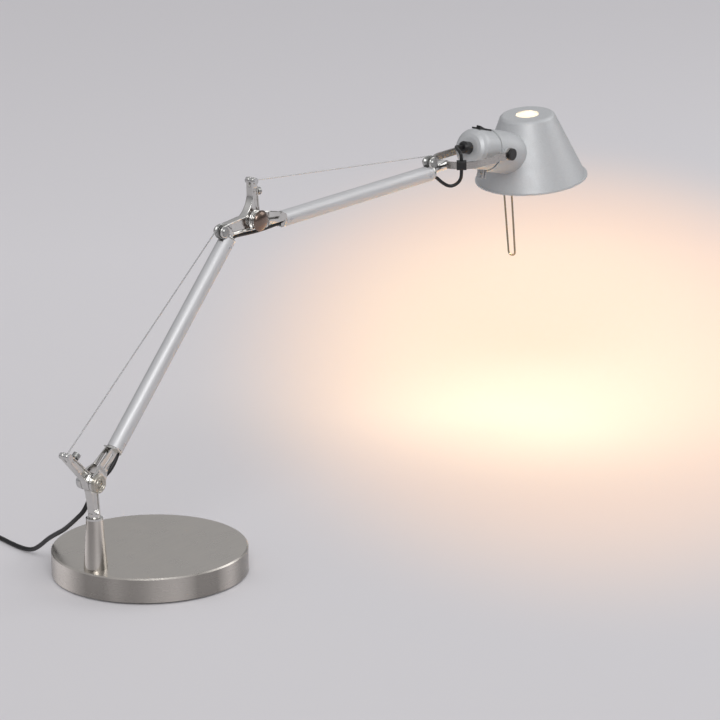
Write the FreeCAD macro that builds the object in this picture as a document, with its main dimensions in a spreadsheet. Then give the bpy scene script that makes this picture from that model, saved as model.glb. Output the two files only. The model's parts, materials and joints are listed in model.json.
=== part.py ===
import FreeCAD, Part
import math
import os
import re
import Sketcher
from FreeCAD import Placement, Rotation, Vector

# Swing arm desk lamp, millimetres. The origin is the centre of the base's underside, +Z is up,
# and both arms lie in the plane y = 0, reaching towards +X. -Y is the side of the round knobs.

os.makedirs("parts", exist_ok=True)
doc = FreeCAD.newDocument("Lamp")

sizes = {
    # base
    "base_radius": 85.0,
    "base_height": 23.3,
    "base_edge": 1.2,
    "pad_radius": 81.0,
    "pad_height": 1.8,
    "cover_wall": 1.5,
    "weight_gap": 0.3,
    # socket cone and what holds it
    "stem_x": -69.5,
    "cone_foot_radius": 10.3,
    "cone_top_radius": 7.3,
    "cone_height": 43.5,
    "bolt_radius": 3.0,
    "bolt_hole_gap": 0.4,
    "bolt_head_radius": 8.0,
    "bolt_head_height": 4.5,
    "bush_wall": 1.2,
    "bush_depth": 32.0,
    "flange_height": 1.6,
    "spigot_radius": 4.0,
    "running_gap": 0.05,
    # lower bracket
    "pivot_x": -72.8,
    "pivot_z": 100.6,
    "column_width": 8.0,
    "casting_half": 4.0,
    "casting_web": 1.4,
    "casting_rim": 1.1,
    "boss_radius": 8.0,
    "lever_tip_radius": 3.3,
    "lever_root_radius": 4.8,
    "lever_edge": 3.2,
    "lower_fillet_run": 21.0,
    "upper_fillet_run": 25.0,
    "lower_lever_length": 42.5,
    "lower_lever_angle": 134.5,
    "anchor_radius": 1.5,
    "anchor_head_radius": 2.7,
    "anchor_head": 1.4,
    "wheel_radius": 3.5,
    "wheel_height": 4.2,
    "wheel_back": 9.8,
    # arm joints, shared by both arms
    "washer_thick": 0.8,
    "cheek_thick": 2.4,
    "cheek_radius": 7.5,
    "cheek_foot": 4.2,
    "cheek_drop": 3.6,
    "pivot_bolt_radius": 2.5,
    "knob_height": 4.0,
    "lower_knob_radius": 7.9,
    "upper_knob_radius": 9.4,
    "nut_height": 3.2,
    "nut_radius": 7.0,
    "tube_lift": 0.25,
    "tube_radius": 7.25,
    "tube_wall": 1.0,
    "tube_start": 37.0,
    "tube_length": 214.0,
    "fork_plug": 12.0,
    "plug_gap": 0.03,
    "end_flange": 2.5,
    "slot_width": 2.2,
    "slot_length": 15.0,
    "grub_radius": 1.5,
    "grub_stand": 0.4,
    "grub_inset": 6.0,
    "notch_half": 2.7,
    "cord_drop": 3.4,
    # spring and wire
    "spring_radius": 3.0,
    "spring_wire": 0.5,
    "spring_pitch": 2.6,
    "spring_turns": 30.0,
    "spring_start": 56.2,
    "spring_rise": 2.4,
    "wire_radius": 0.55,
    "wire_gap": 3.0,
    # pulleys
    "pulley_radius": 6.5,
    "pulley_half": 2.1,
    "pulley_groove": 0.9,
    "pulley_pin_radius": 1.5,
    "fixed_gap": 0.03,
    "pulley_cap_radius": 4.3,
    "pulley_cap_height": 1.6,
    "pulley_cheek_gap": 0.3,
    "pulley_cheek": 2.2,
    "pulley_cheek_radius": 5.6,
    "pulley_beyond": 1.5,
    "lower_pulley_rise": 4.5,
    "upper_pulley_rise": 3.0,
    # arm directions at rest, degrees above +X
    "lower_angle": 44.7,
    "upper_angle": -0.5,
    "elbow_beyond": 33.4,
    "elbow_rise": -25.2,
    "upper_lever_length": 35.4,
    "upper_lever_angle": 93.4,
    # head fork
    "head_beyond": 93.6,
    "head_rise": -3.1,
    "fork_clear": 4.0,
    "strap_thick": 2.2,
    "strap_height": 6.5,
    "fork_length": 45.7,
    "link_boss_radius": 5.0,
    "fork_screw_radius": 2.0,
    "fork_screw_head": 3.8,
    "fork_screw_head_height": 2.2,
    "pivot_cap_radius": 6.0,
    "pivot_cap_height": 2.6,
    "pivot_screw_radius": 2.0,
    # housing and collar, along an axis square to the shade's wall
    "housing_tilt": 15.3,
    "collar_step": 1.0,
    "housing_wall": 2.0,
    "housing_back": 34.0,
    "housing_round": 9.0,
    "seam_reach": -7.0,
    "collar_radius": 20.0,
    "collar_wall": 2.5,
    "gland_radius": 5.8,
    "gland_reach": 10.5,
    "clip_gap": 0.15,
    # lampholder and bulb
    "holder_radius": 13.0,
    "holder_back": 14.0,
    "holder_front": 22.0,
    "cap_radius": 6.9,
    "cap_back": 4.0,
    "cap_length": 22.0,
    "globe_radius": 19.0,
    "globe_reach": 57.0,
    # shade
    "shade_tilt": 6.06,
    "shade_x": 66.4,
    "shade_drop": 38.7,
    "shade_bottom_radius": 52.0,
    "shade_top_radius": 25.4,
    "shade_height": 62.8,
    "shade_wall": 1.2,
    "shade_lip": 1.5,
    "shade_hole_radius": 11.0,
    "shade_round": 2.0,
    # switch
    "switch_reach": -18.0,
    "switch_length": 19.0,
    "switch_width": 9.0,
    "switch_frame_wall": 1.2,
    "rocker_gap": 0.25,
    "rocker_rise": 2.6,
    # handle loop
    "loop_radial": 38.0,
    "loop_half": 4.6,
    "loop_low": 66.5,
    "loop_wire": 0.9,
    # flex and mains cord
    "flex_radius": 1.6,
    "cord_radius": 2.0,
    "floor_gap": 0.2,
    "coil_radius": 24.0,
    "coil_section": 7.0,
    "plug_aside": 4.0,
    "mains_plug_width": 35.3,
    "mains_plug_thick": 13.7,
    "mains_plug_length": 36.0,
    "mains_pin_radius": 2.0,
    "mains_pin_length": 19.0,
    "mains_pin_pitch": 18.6,
    "mains_sleeve_length": 10.0,
    "mains_sleeve_radius": 1.6,
    "mains_shank_radius": 1.1,
}

sheet = doc.addObject("Spreadsheet::Sheet", "Sizes")
for row, (alias, size) in enumerate(sizes.items(), start=1):
    sheet.set(f"A{row}", alias)
    sheet.set(f"B{row}", str(size))
    sheet.setAlias(f"B{row}", alias)
doc.recompute()


def full(text):
    """Writes a formula's plain size names as references to the sheet."""
    def refer(match):
        word = match.group()
        return "Sizes." + word if word in sizes else word
    return re.sub(r"[a-z_][a-z0-9_]*", refer, str(text))


def size(text):
    return float(sheet.evalExpression(full(text)))


def at(x=0, y=0, z=0):
    return Vector(size(x), size(y), size(z))


def moved(x=0, y=0, z=0):
    return Placement(at(x, y, z), Rotation())


def facing(direction, x=0, y=0, z=0):
    """A place whose own +Z points along direction."""
    return Placement(at(x, y, z), Rotation(Vector(0, 0, 1), direction))


alongX = Vector(1, 0, 0)
nearSide = Vector(0, -1, 0)
farSide = Vector(0, 1, 0)
world = Placement()


def newBody(label, place=world):
    body = doc.addObject("PartDesign::Body", label)
    body.Label = label
    body.Placement = place
    return body


def newSketch(body, role, offset="0"):
    sketch = body.newObject("Sketcher::SketchObject", body.Label + "_sketch")
    plane = next(item for item in body.Origin.OriginFeatures if item.Role == role)
    sketch.AttachmentSupport = [(plane, "")]
    sketch.MapMode = "FlatFace"
    sketch.setExpression("AttachmentOffset.Base.z", full(offset))
    return sketch


def bindPoint(sketch, geometry, end, x, y):
    for kind, text in (("DistanceX", x), ("DistanceY", y)):
        number = sketch.addConstraint(Sketcher.Constraint(kind, -1, 1, geometry, end, size(text)))
        sketch.setExpression(f"Constraints[{number}]", full(text))


def bindRadius(sketch, geometry, radius):
    number = sketch.addConstraint(Sketcher.Constraint("Radius", geometry, size(radius)))
    sketch.setExpression(f"Constraints[{number}]", full(radius))


def drawOutline(sketch, points):
    """A closed outline of straight lines through points given as formulas."""
    ends = [at(x, y) for x, y in points]
    for start, end in zip(ends, ends[1:] + ends[:1]):
        sketch.addGeometry(Part.LineSegment(start, end), False)
    for number in range(len(points)):
        following = (number + 1) % len(points)
        sketch.addConstraint(Sketcher.Constraint("Coincident", number, 2, following, 1))
    for number, (x, y) in enumerate(points):
        bindPoint(sketch, number, 1, x, y)


def drawCircle(sketch, x, y, radius):
    circle = Part.Circle(at(x, y), Vector(0, 0, 1), size(radius))
    number = sketch.addGeometry(circle, False)
    bindPoint(sketch, number, 3, x, y)
    bindRadius(sketch, number, radius)


def drawLink(sketch, first, firstRadius, second, secondRadius):
    """Two round ends joined by their outer tangents."""
    a, b = at(*first), at(*second)
    ra, rb = size(firstRadius), size(secondRadius)
    heading = math.atan2(b.y - a.y, b.x - a.x)
    spread = math.acos((ra - rb) / a.distanceToPoint(b))

    def rim(centre, radius, angle):
        return centre + Vector(radius * math.cos(angle), radius * math.sin(angle), 0)

    up, down = heading + spread, heading - spread
    upper = sketch.addGeometry(Part.LineSegment(rim(a, ra, up), rim(b, rb, up)), False)
    lower = sketch.addGeometry(Part.LineSegment(rim(b, rb, down), rim(a, ra, down)), False)
    normal = Vector(0, 0, 1)
    far = sketch.addGeometry(Part.ArcOfCircle(Part.Circle(b, normal, rb), down, up), False)
    near = sketch.addGeometry(Part.ArcOfCircle(Part.Circle(a, normal, ra), up, down + 2 * math.pi), False)
    corners = ((far, 2, upper, 2), (far, 1, lower, 1), (near, 1, upper, 1), (near, 2, lower, 2))
    for arc, arcEnd, line, lineEnd in corners:
        sketch.addConstraint(Sketcher.Constraint("Tangent", arc, arcEnd, line, lineEnd))
    bindPoint(sketch, near, 3, *first)
    bindPoint(sketch, far, 3, *second)
    bindRadius(sketch, near, firstRadius)
    bindRadius(sketch, far, secondRadius)


def turn(body, points, axis="V_Axis"):
    """Turns an outline in the body's XZ plane about its own Z (or X) axis."""
    sketch = newSketch(body, "XZ_Plane")
    drawOutline(sketch, points)
    feature = body.newObject("PartDesign::Revolution", body.Label + "_turned")
    feature.Profile = sketch
    feature.ReferenceAxis = (sketch, [axis])
    feature.Angle = 360
    return feature


def pad(body, sketch, length, symmetric=False, reverse=False):
    feature = body.newObject("PartDesign::Pad", body.Label + "_pad")
    feature.Profile = sketch
    feature.setExpression("Length", full(length))
    feature.SideType = "Symmetric" if symmetric else "One side"
    feature.Reversed = reverse
    return feature


def pocket(body, sketch, length, symmetric=True, reverse=False):
    """Cuts a sketch out of a body and checks that material really went."""
    doc.recompute()
    before = body.Shape.Volume
    feature = body.newObject("PartDesign::Pocket", body.Label + "_pocket")
    feature.Profile = sketch
    feature.setExpression("Length", full(length))
    feature.SideType = "Symmetric" if symmetric else "One side"
    feature.Reversed = reverse
    doc.recompute()
    if body.Shape.Volume >= before - 1e-6:
        raise ValueError(body.Label + ": a pocket cuts nothing")
    return feature


def turnedBody(label, points, place):
    body = newBody(label, place)
    turn(body, points)
    return body


def rodPoints(radius, low, high):
    return [("0", low), (radius, low), (radius, high), ("0", high)]


def ringPoints(inner, outer, low, high):
    return [(inner, low), (outer, low), (outer, high), (inner, high)]


def feature(label, shape, place=world):
    item = doc.addObject("Part::Feature", label)
    item.Label = label
    item.Shape = shape
    item.Placement = place
    return item


def rod(radius, start, end):
    direction = end - start
    return Part.makeCylinder(radius, direction.Length, start, direction)


def block(low, high):
    return Part.makeBox(high.x - low.x, high.y - low.y, high.z - low.z, low)


# Frames: each arm's own x runs along its tube and its z points away from the desk.
lowerFrame = Placement(at("pivot_x", 0, "pivot_z"), Rotation(Vector(0, 1, 0), -size("lower_angle")))
elbow = lowerFrame.multVec(at("tube_start + tube_length + elbow_beyond", 0, "elbow_rise"))
upperFrame = Placement(elbow, Rotation(Vector(0, 1, 0), -size("upper_angle")))
head = upperFrame.multVec(at("tube_start + tube_length + head_beyond", 0, "head_rise"))
forkFrame = Placement(head, upperFrame.Rotation)
housingFrame = Placement(head, Rotation(Vector(0, 1, 0), size("housing_tilt")))
shadeFoot = head + at("shade_x", 0, "-shade_drop")
shadeFrame = Placement(shadeFoot, Rotation(Vector(0, 1, 0), -size("shade_tilt")))
socketTop = "base_height + cone_height"
alongHousing = housingFrame.multiply(facing(alongX))

# ---------------------------------------------------------------- base
turnedBody("base_pad", rodPoints("pad_radius", "0", "pad_height"), world)

weight = newBody("base_weight")
weightTop = "base_height - cover_wall - weight_gap"
turn(weight, rodPoints("base_radius - cover_wall - weight_gap", "pad_height", weightTop))
recess = newSketch(weight, "XY_Plane", "pad_height")
drawCircle(recess, "stem_x", "0", "bolt_head_radius + bolt_hole_gap")
pocket(weight, recess, "bolt_head_height", symmetric=False, reverse=True)
stemHole = newSketch(weight, "XY_Plane", "pad_height")
drawCircle(stemHole, "stem_x", "0", "bolt_radius + bolt_hole_gap")
pocket(weight, stemHole, "base_height", symmetric=False, reverse=True)

cover = newBody("base_cover")
turn(cover, [
    ("base_radius - cover_wall", "pad_height"),
    ("base_radius", "pad_height"),
    ("base_radius", "base_height - base_edge"),
    ("base_radius - base_edge", "base_height"),
    ("0", "base_height"),
    ("0", "base_height - cover_wall"),
    ("base_radius - cover_wall", "base_height - cover_wall"),
])
coverHole = newSketch(cover, "XY_Plane", "base_height")
drawCircle(coverHole, "stem_x", "0", "bolt_radius + bolt_hole_gap")
pocket(cover, coverHole, "4 * cover_wall", symmetric=True)

bushOuter = "spigot_radius + bush_wall"
turnedBody("stem_socket", [
    ("bolt_radius", "0"),
    ("cone_foot_radius", "0"),
    ("cone_top_radius", "cone_height"),
    (bushOuter, "cone_height"),
    (bushOuter, "cone_height - bush_depth"),
    ("bolt_radius", "cone_height - bush_depth"),
], moved("stem_x", 0, "base_height"))

boltHeadTop = "pad_height + bolt_head_height"
turnedBody("socket_bolt", [
    ("0", "pad_height"),
    ("bolt_head_radius", "pad_height"),
    ("bolt_head_radius", boltHeadTop),
    ("bolt_radius", boltHeadTop),
    ("bolt_radius", "base_height + 0.8 * (cone_height - bush_depth)"),
    ("0", "base_height + 0.8 * (cone_height - bush_depth)"),
], moved("stem_x"))

turnedBody("swivel_bush", [
    ("spigot_radius", "-bush_depth"),
    (bushOuter, "-bush_depth"),
    (bushOuter, "0"),
    ("cone_top_radius", "0"),
    ("cone_top_radius", "flange_height"),
    ("spigot_radius", "flange_height"),
], moved("stem_x", 0, socketTop))


# ---------------------------------------------------------------- castings
def linkFace(a, ra, b, rb):
    """A flat face in the XZ plane: two round ends joined by their outer tangents."""
    heading = math.atan2(b.z - a.z, b.x - a.x)
    spread = math.acos((ra - rb) / a.distanceToPoint(b))

    def rim(centre, radius, angle):
        return centre + Vector(radius * math.cos(angle), 0, radius * math.sin(angle))

    up, down = heading + spread, heading - spread
    edges = [
        Part.LineSegment(rim(a, ra, up), rim(b, rb, up)).toShape(),
        Part.Arc(rim(b, rb, up), rim(b, rb, heading), rim(b, rb, down)).toShape(),
        Part.LineSegment(rim(b, rb, down), rim(a, ra, down)).toShape(),
        Part.Arc(rim(a, ra, down), rim(a, ra, heading + math.pi), rim(a, ra, up)).toShape(),
    ]
    return Part.Face(Part.Wire(Part.sortEdges(edges)[0]))


def gussetFace(corner, first, second, edge, run):
    """The web in a Y between two legs: a concave arc meets the legs' edges after a run."""
    u = (first - corner).normalize()
    v = (second - corner).normalize()
    half = u.getAngle(v) / 2
    middle = (u + v).normalize()
    inner = corner + middle * (edge / math.sin(half))
    centre = inner + middle * (run / math.cos(half))
    low, high = inner + u * run, inner + v * run
    reach = run + edge / math.tan(half)
    edges = [
        Part.Arc(low, centre - middle * (run * math.tan(half)), high).toShape(),
        Part.LineSegment(high, corner + v * reach).toShape(),
        Part.LineSegment(corner + v * reach, corner).toShape(),
        Part.LineSegment(corner, corner + u * reach).toShape(),
        Part.LineSegment(corner + u * reach, low).toShape(),
    ]
    return Part.Face(Part.Wire(Part.sortEdges(edges)[0]))


def thick(face, low, high):
    lowered = face.copy()
    lowered.translate(Vector(0, low, 0))
    return lowered.extrude(Vector(0, high - low, 0))


def disc(centre, radius, half):
    return rod(radius, centre - Vector(0, half, 0), centre + Vector(0, half, 0))


def ribbedCasting(faces, solidSpots):
    """Flat casting with a rim all round and a thin web, left solid at round spots."""
    half = size("casting_half")
    web = size("casting_web")
    outline = faces[0].multiFuse(faces[1:]).removeSplitter().Faces[0]
    casting = thick(outline, -half, half)
    inner = outline.makeOffset2D(-size("casting_rim"))
    hollows = thick(inner, -half, -web).fuse(thick(inner, web, half))
    for centre, radius in solidSpots:
        hollows = hollows.cut(disc(centre, radius, 2 * half))
    return casting.cut(hollows)


def leverTip(centre, tipRadius):
    """Slot and cross hole at a lever's tip for the wire's barrel."""
    hole = disc(centre, size("anchor_radius + running_gap"), 2 * size("casting_half"))
    slot = disc(centre, tipRadius + 2.0, size("wire_radius") + 0.35)
    return hole.fuse(slot)


# ---------------------------------------------------------------- lower bracket
pivot = lowerFrame.Base
leverAngle = math.radians(size("lower_lever_angle"))
lowerTip = pivot + Vector(math.cos(leverAngle), 0, math.sin(leverAngle)) * size("lower_lever_length")
columnFoot = at("stem_x", 0, socketTop + " + flange_height")
columnHalf = size("column_width / 2")
tipRadius = size("lever_tip_radius")
bossRadius = size("boss_radius")

column = linkFace(columnFoot + Vector(0, 0, columnHalf), columnHalf, pivot, columnHalf + 1.0)
lever = linkFace(pivot, size("lever_root_radius"), lowerTip, tipRadius)
leverEdge = size("lever_edge")
fillet = gussetFace(pivot, columnFoot, lowerTip, leverEdge, size("lower_fillet_run"))
boss = linkFace(pivot, bossRadius, pivot + Vector(0.01, 0, 0), bossRadius)
bracket = ribbedCasting([column, lever, boss, fillet], [
    (pivot, bossRadius), (columnFoot, columnHalf + 2.0), (lowerTip, tipRadius + 3.0),
])
spigotFoot = columnFoot - at(0, 0, "bush_depth + flange_height - 0.5")
bracket = bracket.fuse([
    rod(size("spigot_radius - running_gap"), spigotFoot, columnFoot),
    rod(columnHalf + 1.0, columnFoot, columnFoot + Vector(0, 0, columnHalf)),
])
boltHole = disc(pivot, size("pivot_bolt_radius + running_gap"), 2 * bossRadius)
bracket = bracket.cut([boltHole, leverTip(lowerTip, tipRadius)]).removeSplitter()
bracketFeature = feature("lower_bracket", bracket)


# ---------------------------------------------------------------- wires and their barrels
def offLine(start, end, distance):
    """The point at a distance from start towards end."""
    return start + (end - start).normalize() * distance


def tangentOver(tip, centre, radius):
    """Where a wire from tip meets a pulley, passing over its outer side."""
    line = centre - tip
    heading = math.atan2(line.z, line.x)
    lean = math.asin(radius / line.Length)
    run = math.sqrt(line.Length ** 2 - radius ** 2)
    return tip + Vector(math.cos(heading + lean), 0, math.sin(heading + lean)) * run


def makeWire(label, tip, pulley):
    """A wire with a barrel on its end, which turns in the lever's tip; it stops short of the pulley."""
    half = size("casting_half")
    barrel = disc(tip, size("anchor_radius"), half + 0.4)
    for side in (-1, 1):
        face = tip + Vector(0, side * (half + 0.1), 0)
        barrel = barrel.fuse(rod(size("anchor_head_radius"), face, face + at(0, "anchor_head") * side))
    end = tangentOver(tip, pulley, size("pulley_radius - pulley_groove + wire_radius"))
    free = tip.distanceToPoint(end) - size("wire_gap")
    wire = rod(size("wire_radius"), tip, offLine(tip, end, free))
    feature(label, barrel.fuse(wire).removeSplitter())


def makeWheel(label, origin, tip, pulley, carrier):
    """The tension wheel that stands on the lever a little below its tip."""
    back = offLine(tip, origin, size("wheel_back"))
    side = (pulley - tip).normalize()
    base = back + side * (tipRadius + 1.6)
    stem = rod(size("pulley_pin_radius"), back, base + side * 0.6)
    wheel = rod(size("wheel_radius"), base, base + side * size("wheel_height"))
    feature(label, stem.fuse(wheel).cut(carrier).removeSplitter())


lowerPulley = lowerFrame.multVec(at("tube_start + tube_length + pulley_beyond", 0, "lower_pulley_rise"))
upperPulley = upperFrame.multVec(at("tube_start + tube_length + pulley_beyond", 0, "upper_pulley_rise"))
upperLeverAngle = math.radians(size("upper_lever_angle"))
upperDirection = Vector(math.cos(upperLeverAngle), 0, math.sin(upperLeverAngle))
upperTip = elbow + upperDirection * size("upper_lever_length")

makeWire("lower_wire", lowerTip, lowerPulley)
makeWire("upper_wire", upperTip, upperPulley)

# ---------------------------------------------------------------- elbow casting
plugRadius = size("tube_radius - tube_wall - plug_gap")
tubeEnd = size("tube_start + tube_length")
axisDrop = -size("(tube_radius - tube_lift)")
casting = size("casting_half")


def cutWays(shape, low, high):
    """Cuts the ways for the flex (below) and the wire (above) through a tube's plug."""
    half = size("notch_half")
    radius = size("tube_radius")
    slotTop = axisDrop - size("cord_drop") + half
    below = block(Vector(low, -half, axisDrop - 2 * radius), Vector(high, half, slotTop))
    above = block(Vector(low, -1.2, axisDrop + 1.0), Vector(high, 1.2, axisDrop + 2 * radius))
    return shape.cut([below, above])


def endPlug():
    """The plug in a tube's far end with its flange, in the arm's own frame."""
    inside = rod(plugRadius, Vector(tubeEnd - size("fork_plug"), 0, axisDrop), Vector(tubeEnd, 0, axisDrop))
    flangeEnd = Vector(tubeEnd + size("end_flange"), 0, axisDrop)
    flange = rod(size("tube_radius"), Vector(tubeEnd, 0, axisDrop), flangeEnd)
    return cutWays(inside.fuse(flange), tubeEnd - 20, tubeEnd + size("end_flange") + 1)


def pulleyFork(centre, throat):
    """Two cheeks that hold a pulley, joined to the tube's end by a throat."""
    half = size("pulley_half + pulley_cheek_gap")
    outer = half + size("pulley_cheek")
    fork = thick(linkFace(throat, 4.0, centre, size("pulley_cheek_radius")), -outer, outer)
    slot = disc(centre, size("pulley_radius + 0.5"), half)
    pinHole = disc(centre, size("pulley_pin_radius + fixed_gap"), 2 * outer)
    return fork, [slot, pinHole]


def onTube(casting):
    """Cut away where the tube's end comes, then add the plug that goes into the tube."""
    spaceStart = Vector(tubeEnd - 20, 0, axisDrop)
    tubeSpace = rod(size("tube_radius + fixed_gap"), spaceStart, Vector(tubeEnd, 0, axisDrop))
    return casting.cut(tubeSpace).fuse(endPlug())


def inArm(frame, point):
    return frame.inverse().multVec(point)


elbowLocal = at("tube_start + tube_length + elbow_beyond", 0, "elbow_rise")
tipLocal = inArm(lowerFrame, upperTip)
lowerPulleyLocal = at("tube_start + tube_length + pulley_beyond", 0, "lower_pulley_rise")
throatLocal = Vector(tubeEnd + size("end_flange") + 1.5, 0, axisDrop + 3.5)
leg = linkFace(lowerPulleyLocal, size("pulley_cheek_radius"), elbowLocal, bossRadius - 0.5)
upperLever = linkFace(elbowLocal, size("lever_root_radius"), tipLocal, tipRadius)
gusset = gussetFace(elbowLocal, lowerPulleyLocal, tipLocal, leverEdge, size("upper_fillet_run"))
elbowBoss = linkFace(elbowLocal, bossRadius, elbowLocal + Vector(0.01, 0, 0), bossRadius)
elbowCasting = ribbedCasting([leg, upperLever, gusset, elbowBoss], [
    (elbowLocal, bossRadius), (lowerPulleyLocal, size("pulley_radius") + 3.0), (tipLocal, tipRadius + 3.0),
])
forkCheeks, forkCuts = pulleyFork(lowerPulleyLocal, throatLocal)
elbowCasting = elbowCasting.fuse(forkCheeks)
elbowBoltHole = disc(elbowLocal, size("pivot_bolt_radius + running_gap"), 2 * bossRadius)
elbowCasting = onTube(elbowCasting).cut(forkCuts + [elbowBoltHole, leverTip(tipLocal, tipRadius)])
elbowFeature = feature("elbow_bracket", elbowCasting.removeSplitter(), lowerFrame)

# ---------------------------------------------------------------- arm end link
upperPulleyLocal = at("tube_start + tube_length + pulley_beyond", 0, "upper_pulley_rise")
forkRadius = size("collar_radius + fork_clear")
strapHalf = size("strap_thick / 2")
strapBack = size("tube_start + tube_length + head_beyond - fork_length") - forkRadius - strapHalf
linkTip = strapBack
headRise = size("head_rise")
linkCheeks, linkCuts = pulleyFork(upperPulleyLocal, throatLocal)
linkBoss = rod(size("link_boss_radius"), Vector(tubeEnd + size("end_flange") - 0.5, 0, headRise),
               Vector(linkTip, 0, headRise))
threadLength = 12.0
screwEnd = Vector(linkTip - threadLength - 0.5, 0, headRise)
screwHole = rod(size("fork_screw_radius"), screwEnd, Vector(linkTip, 0, headRise))
armEnd = onTube(linkCheeks.fuse(linkBoss)).cut(linkCuts + [screwHole])
feature("arm_end_link", armEnd.removeSplitter(), upperFrame)


# ---------------------------------------------------------------- what both arms have alike
def makeArm(name, frame, pulleyLocal, knobRadius, tipPoint):
    tubeBase = moved("tube_start", 0, "-(tube_radius - tube_lift)")
    tubeFrame = frame.multiply(tubeBase).multiply(facing(alongX))
    tubePoints = ringPoints("tube_radius - tube_wall", "tube_radius", "0", "tube_length")
    tube = turnedBody(name + "_tube", tubePoints, tubeFrame)
    notchStart = "tube_length + pulley_beyond - pulley_radius - 0.8"
    pulleyNotch = newSketch(tube, "XZ_Plane")
    drawOutline(pulleyNotch, [
        ("-2 * tube_radius", notchStart),
        ("-tube_radius / 2", notchStart),
        ("-tube_radius / 2", "tube_length + 1"),
        ("-2 * tube_radius", "tube_length + 1"),
    ])
    pocket(tube, pulleyNotch, "2 * (pulley_half + pulley_cheek_gap)")
    grubHoles = newSketch(tube, "XZ_Plane")
    drawCircle(grubHoles, "0", "grub_inset", "grub_radius")
    drawCircle(grubHoles, "0", "tube_length - grub_inset", "grub_radius")
    pocket(tube, grubHoles, "2 * tube_radius", symmetric=False, reverse=True)

    # fork: two slotted cheeks on a plug
    fork = newBody(name + "_fork", frame)
    cheeks = newSketch(fork, "XZ_Plane")
    drawLink(cheeks, ("0", "0"), "cheek_radius", ("tube_start - cheek_foot", "-cheek_drop"), "cheek_foot")
    pad(fork, cheeks, "2 * (casting_half + washer_thick + cheek_thick)", symmetric=True)
    flange = newSketch(fork, "YZ_Plane", "tube_start - end_flange")
    drawCircle(flange, "0", "-(tube_radius - tube_lift)", "tube_radius")
    pad(fork, flange, "end_flange")
    plug = newSketch(fork, "YZ_Plane", "tube_start")
    drawCircle(plug, "0", "-(tube_radius - tube_lift)", "tube_radius - tube_wall - plug_gap")
    pad(fork, plug, "fork_plug")
    gap = newSketch(fork, "XY_Plane", "0")
    gapHalf = "casting_half + washer_thick"
    gapEnd = "tube_start - end_flange"
    drawOutline(gap, [
        ("-2 * cheek_radius", f"-({gapHalf})"),
        (gapEnd, f"-({gapHalf})"),
        (gapEnd, gapHalf),
        ("-2 * cheek_radius", gapHalf),
    ])
    pocket(fork, gap, "8 * cheek_radius")
    slot = newSketch(fork, "XZ_Plane")
    slotStart = "tube_start - end_flange - 4"
    slotFall = "-cheek_drop / (tube_start - cheek_foot)"
    highEnd = f"{slotFall} * ({slotStart} - slot_length)"
    lowEnd = f"{slotFall} * ({slotStart})"
    drawOutline(slot, [
        (f"{slotStart} - slot_length", f"{highEnd} - slot_width / 2"),
        (slotStart, f"{lowEnd} - slot_width / 2"),
        (slotStart, f"{lowEnd} + slot_width / 2"),
        (f"{slotStart} - slot_length", f"{highEnd} + slot_width / 2"),
    ])
    pocket(fork, slot, "6 * cheek_radius")
    hole = newSketch(fork, "XZ_Plane")
    drawCircle(hole, "0", "0", "pivot_bolt_radius + running_gap")
    pocket(fork, hole, "6 * cheek_radius")
    notch = newSketch(fork, "XY_Plane", "-(tube_radius - tube_lift) - cord_drop + notch_half")
    drawOutline(notch, [
        ("0", "-notch_half"),
        ("tube_start + 2 * fork_plug", "-notch_half"),
        ("tube_start + 2 * fork_plug", "notch_half"),
        ("0", "notch_half"),
    ])
    pocket(fork, notch, "2 * tube_radius", symmetric=False)

    # pivot bolt, knob, nut and friction washers
    boltFrame = frame.multiply(facing(nearSide))
    knobBase = "casting_half + washer_thick + cheek_thick"
    boltPoints = rodPoints("pivot_bolt_radius", f"-({knobBase} + nut_height)", knobBase)
    bolts.append(turnedBody(name + "_bolt", boltPoints, boltFrame))
    turnedBody(name + "_pivot_knob", [
        ("0", knobBase),
        (knobRadius, knobBase),
        (knobRadius, f"{knobBase} + knob_height * 0.6"),
        (f"{knobRadius} - 1.6", f"{knobBase} + knob_height"),
        (f"{knobRadius} * 0.5 + 0.5", f"{knobBase} + knob_height"),
        (f"{knobRadius} * 0.5", f"{knobBase} + knob_height - 0.6"),
        (f"{knobRadius} * 0.5 - 0.6", f"{knobBase} + knob_height"),
        ("0.8", f"{knobBase} + knob_height"),
        ("0", f"{knobBase} + knob_height - 0.6"),
    ], boltFrame)
    nutFrame = frame.multiply(facing(farSide))
    nutPoints = ringPoints("pivot_bolt_radius", "nut_radius", knobBase, f"{knobBase} + nut_height")
    nuts.append(turnedBody(name + "_nut", nutPoints, nutFrame))
    washerPoints = ringPoints("pivot_bolt_radius + running_gap", "cheek_radius - 0.5", "casting_half",
                              "casting_half + washer_thick")
    for side, place in (("near", boltFrame), ("far", nutFrame)):
        washers.append(turnedBody(f"{name}_{side}_washer", washerPoints, place))

    # grub screws through the tube into its plugs, on the near side
    grubs = []
    for reach in (size("tube_start + grub_inset"), tubeEnd - size("grub_inset")):
        inner = Vector(reach, -size("tube_radius - tube_wall"), axisDrop)
        outer = Vector(reach, -size("tube_radius + grub_stand"), axisDrop)
        grubs.append(rod(size("grub_radius"), inner, outer))
    feature(name + "_grub_screws", Part.makeCompound(grubs), frame)

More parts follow.
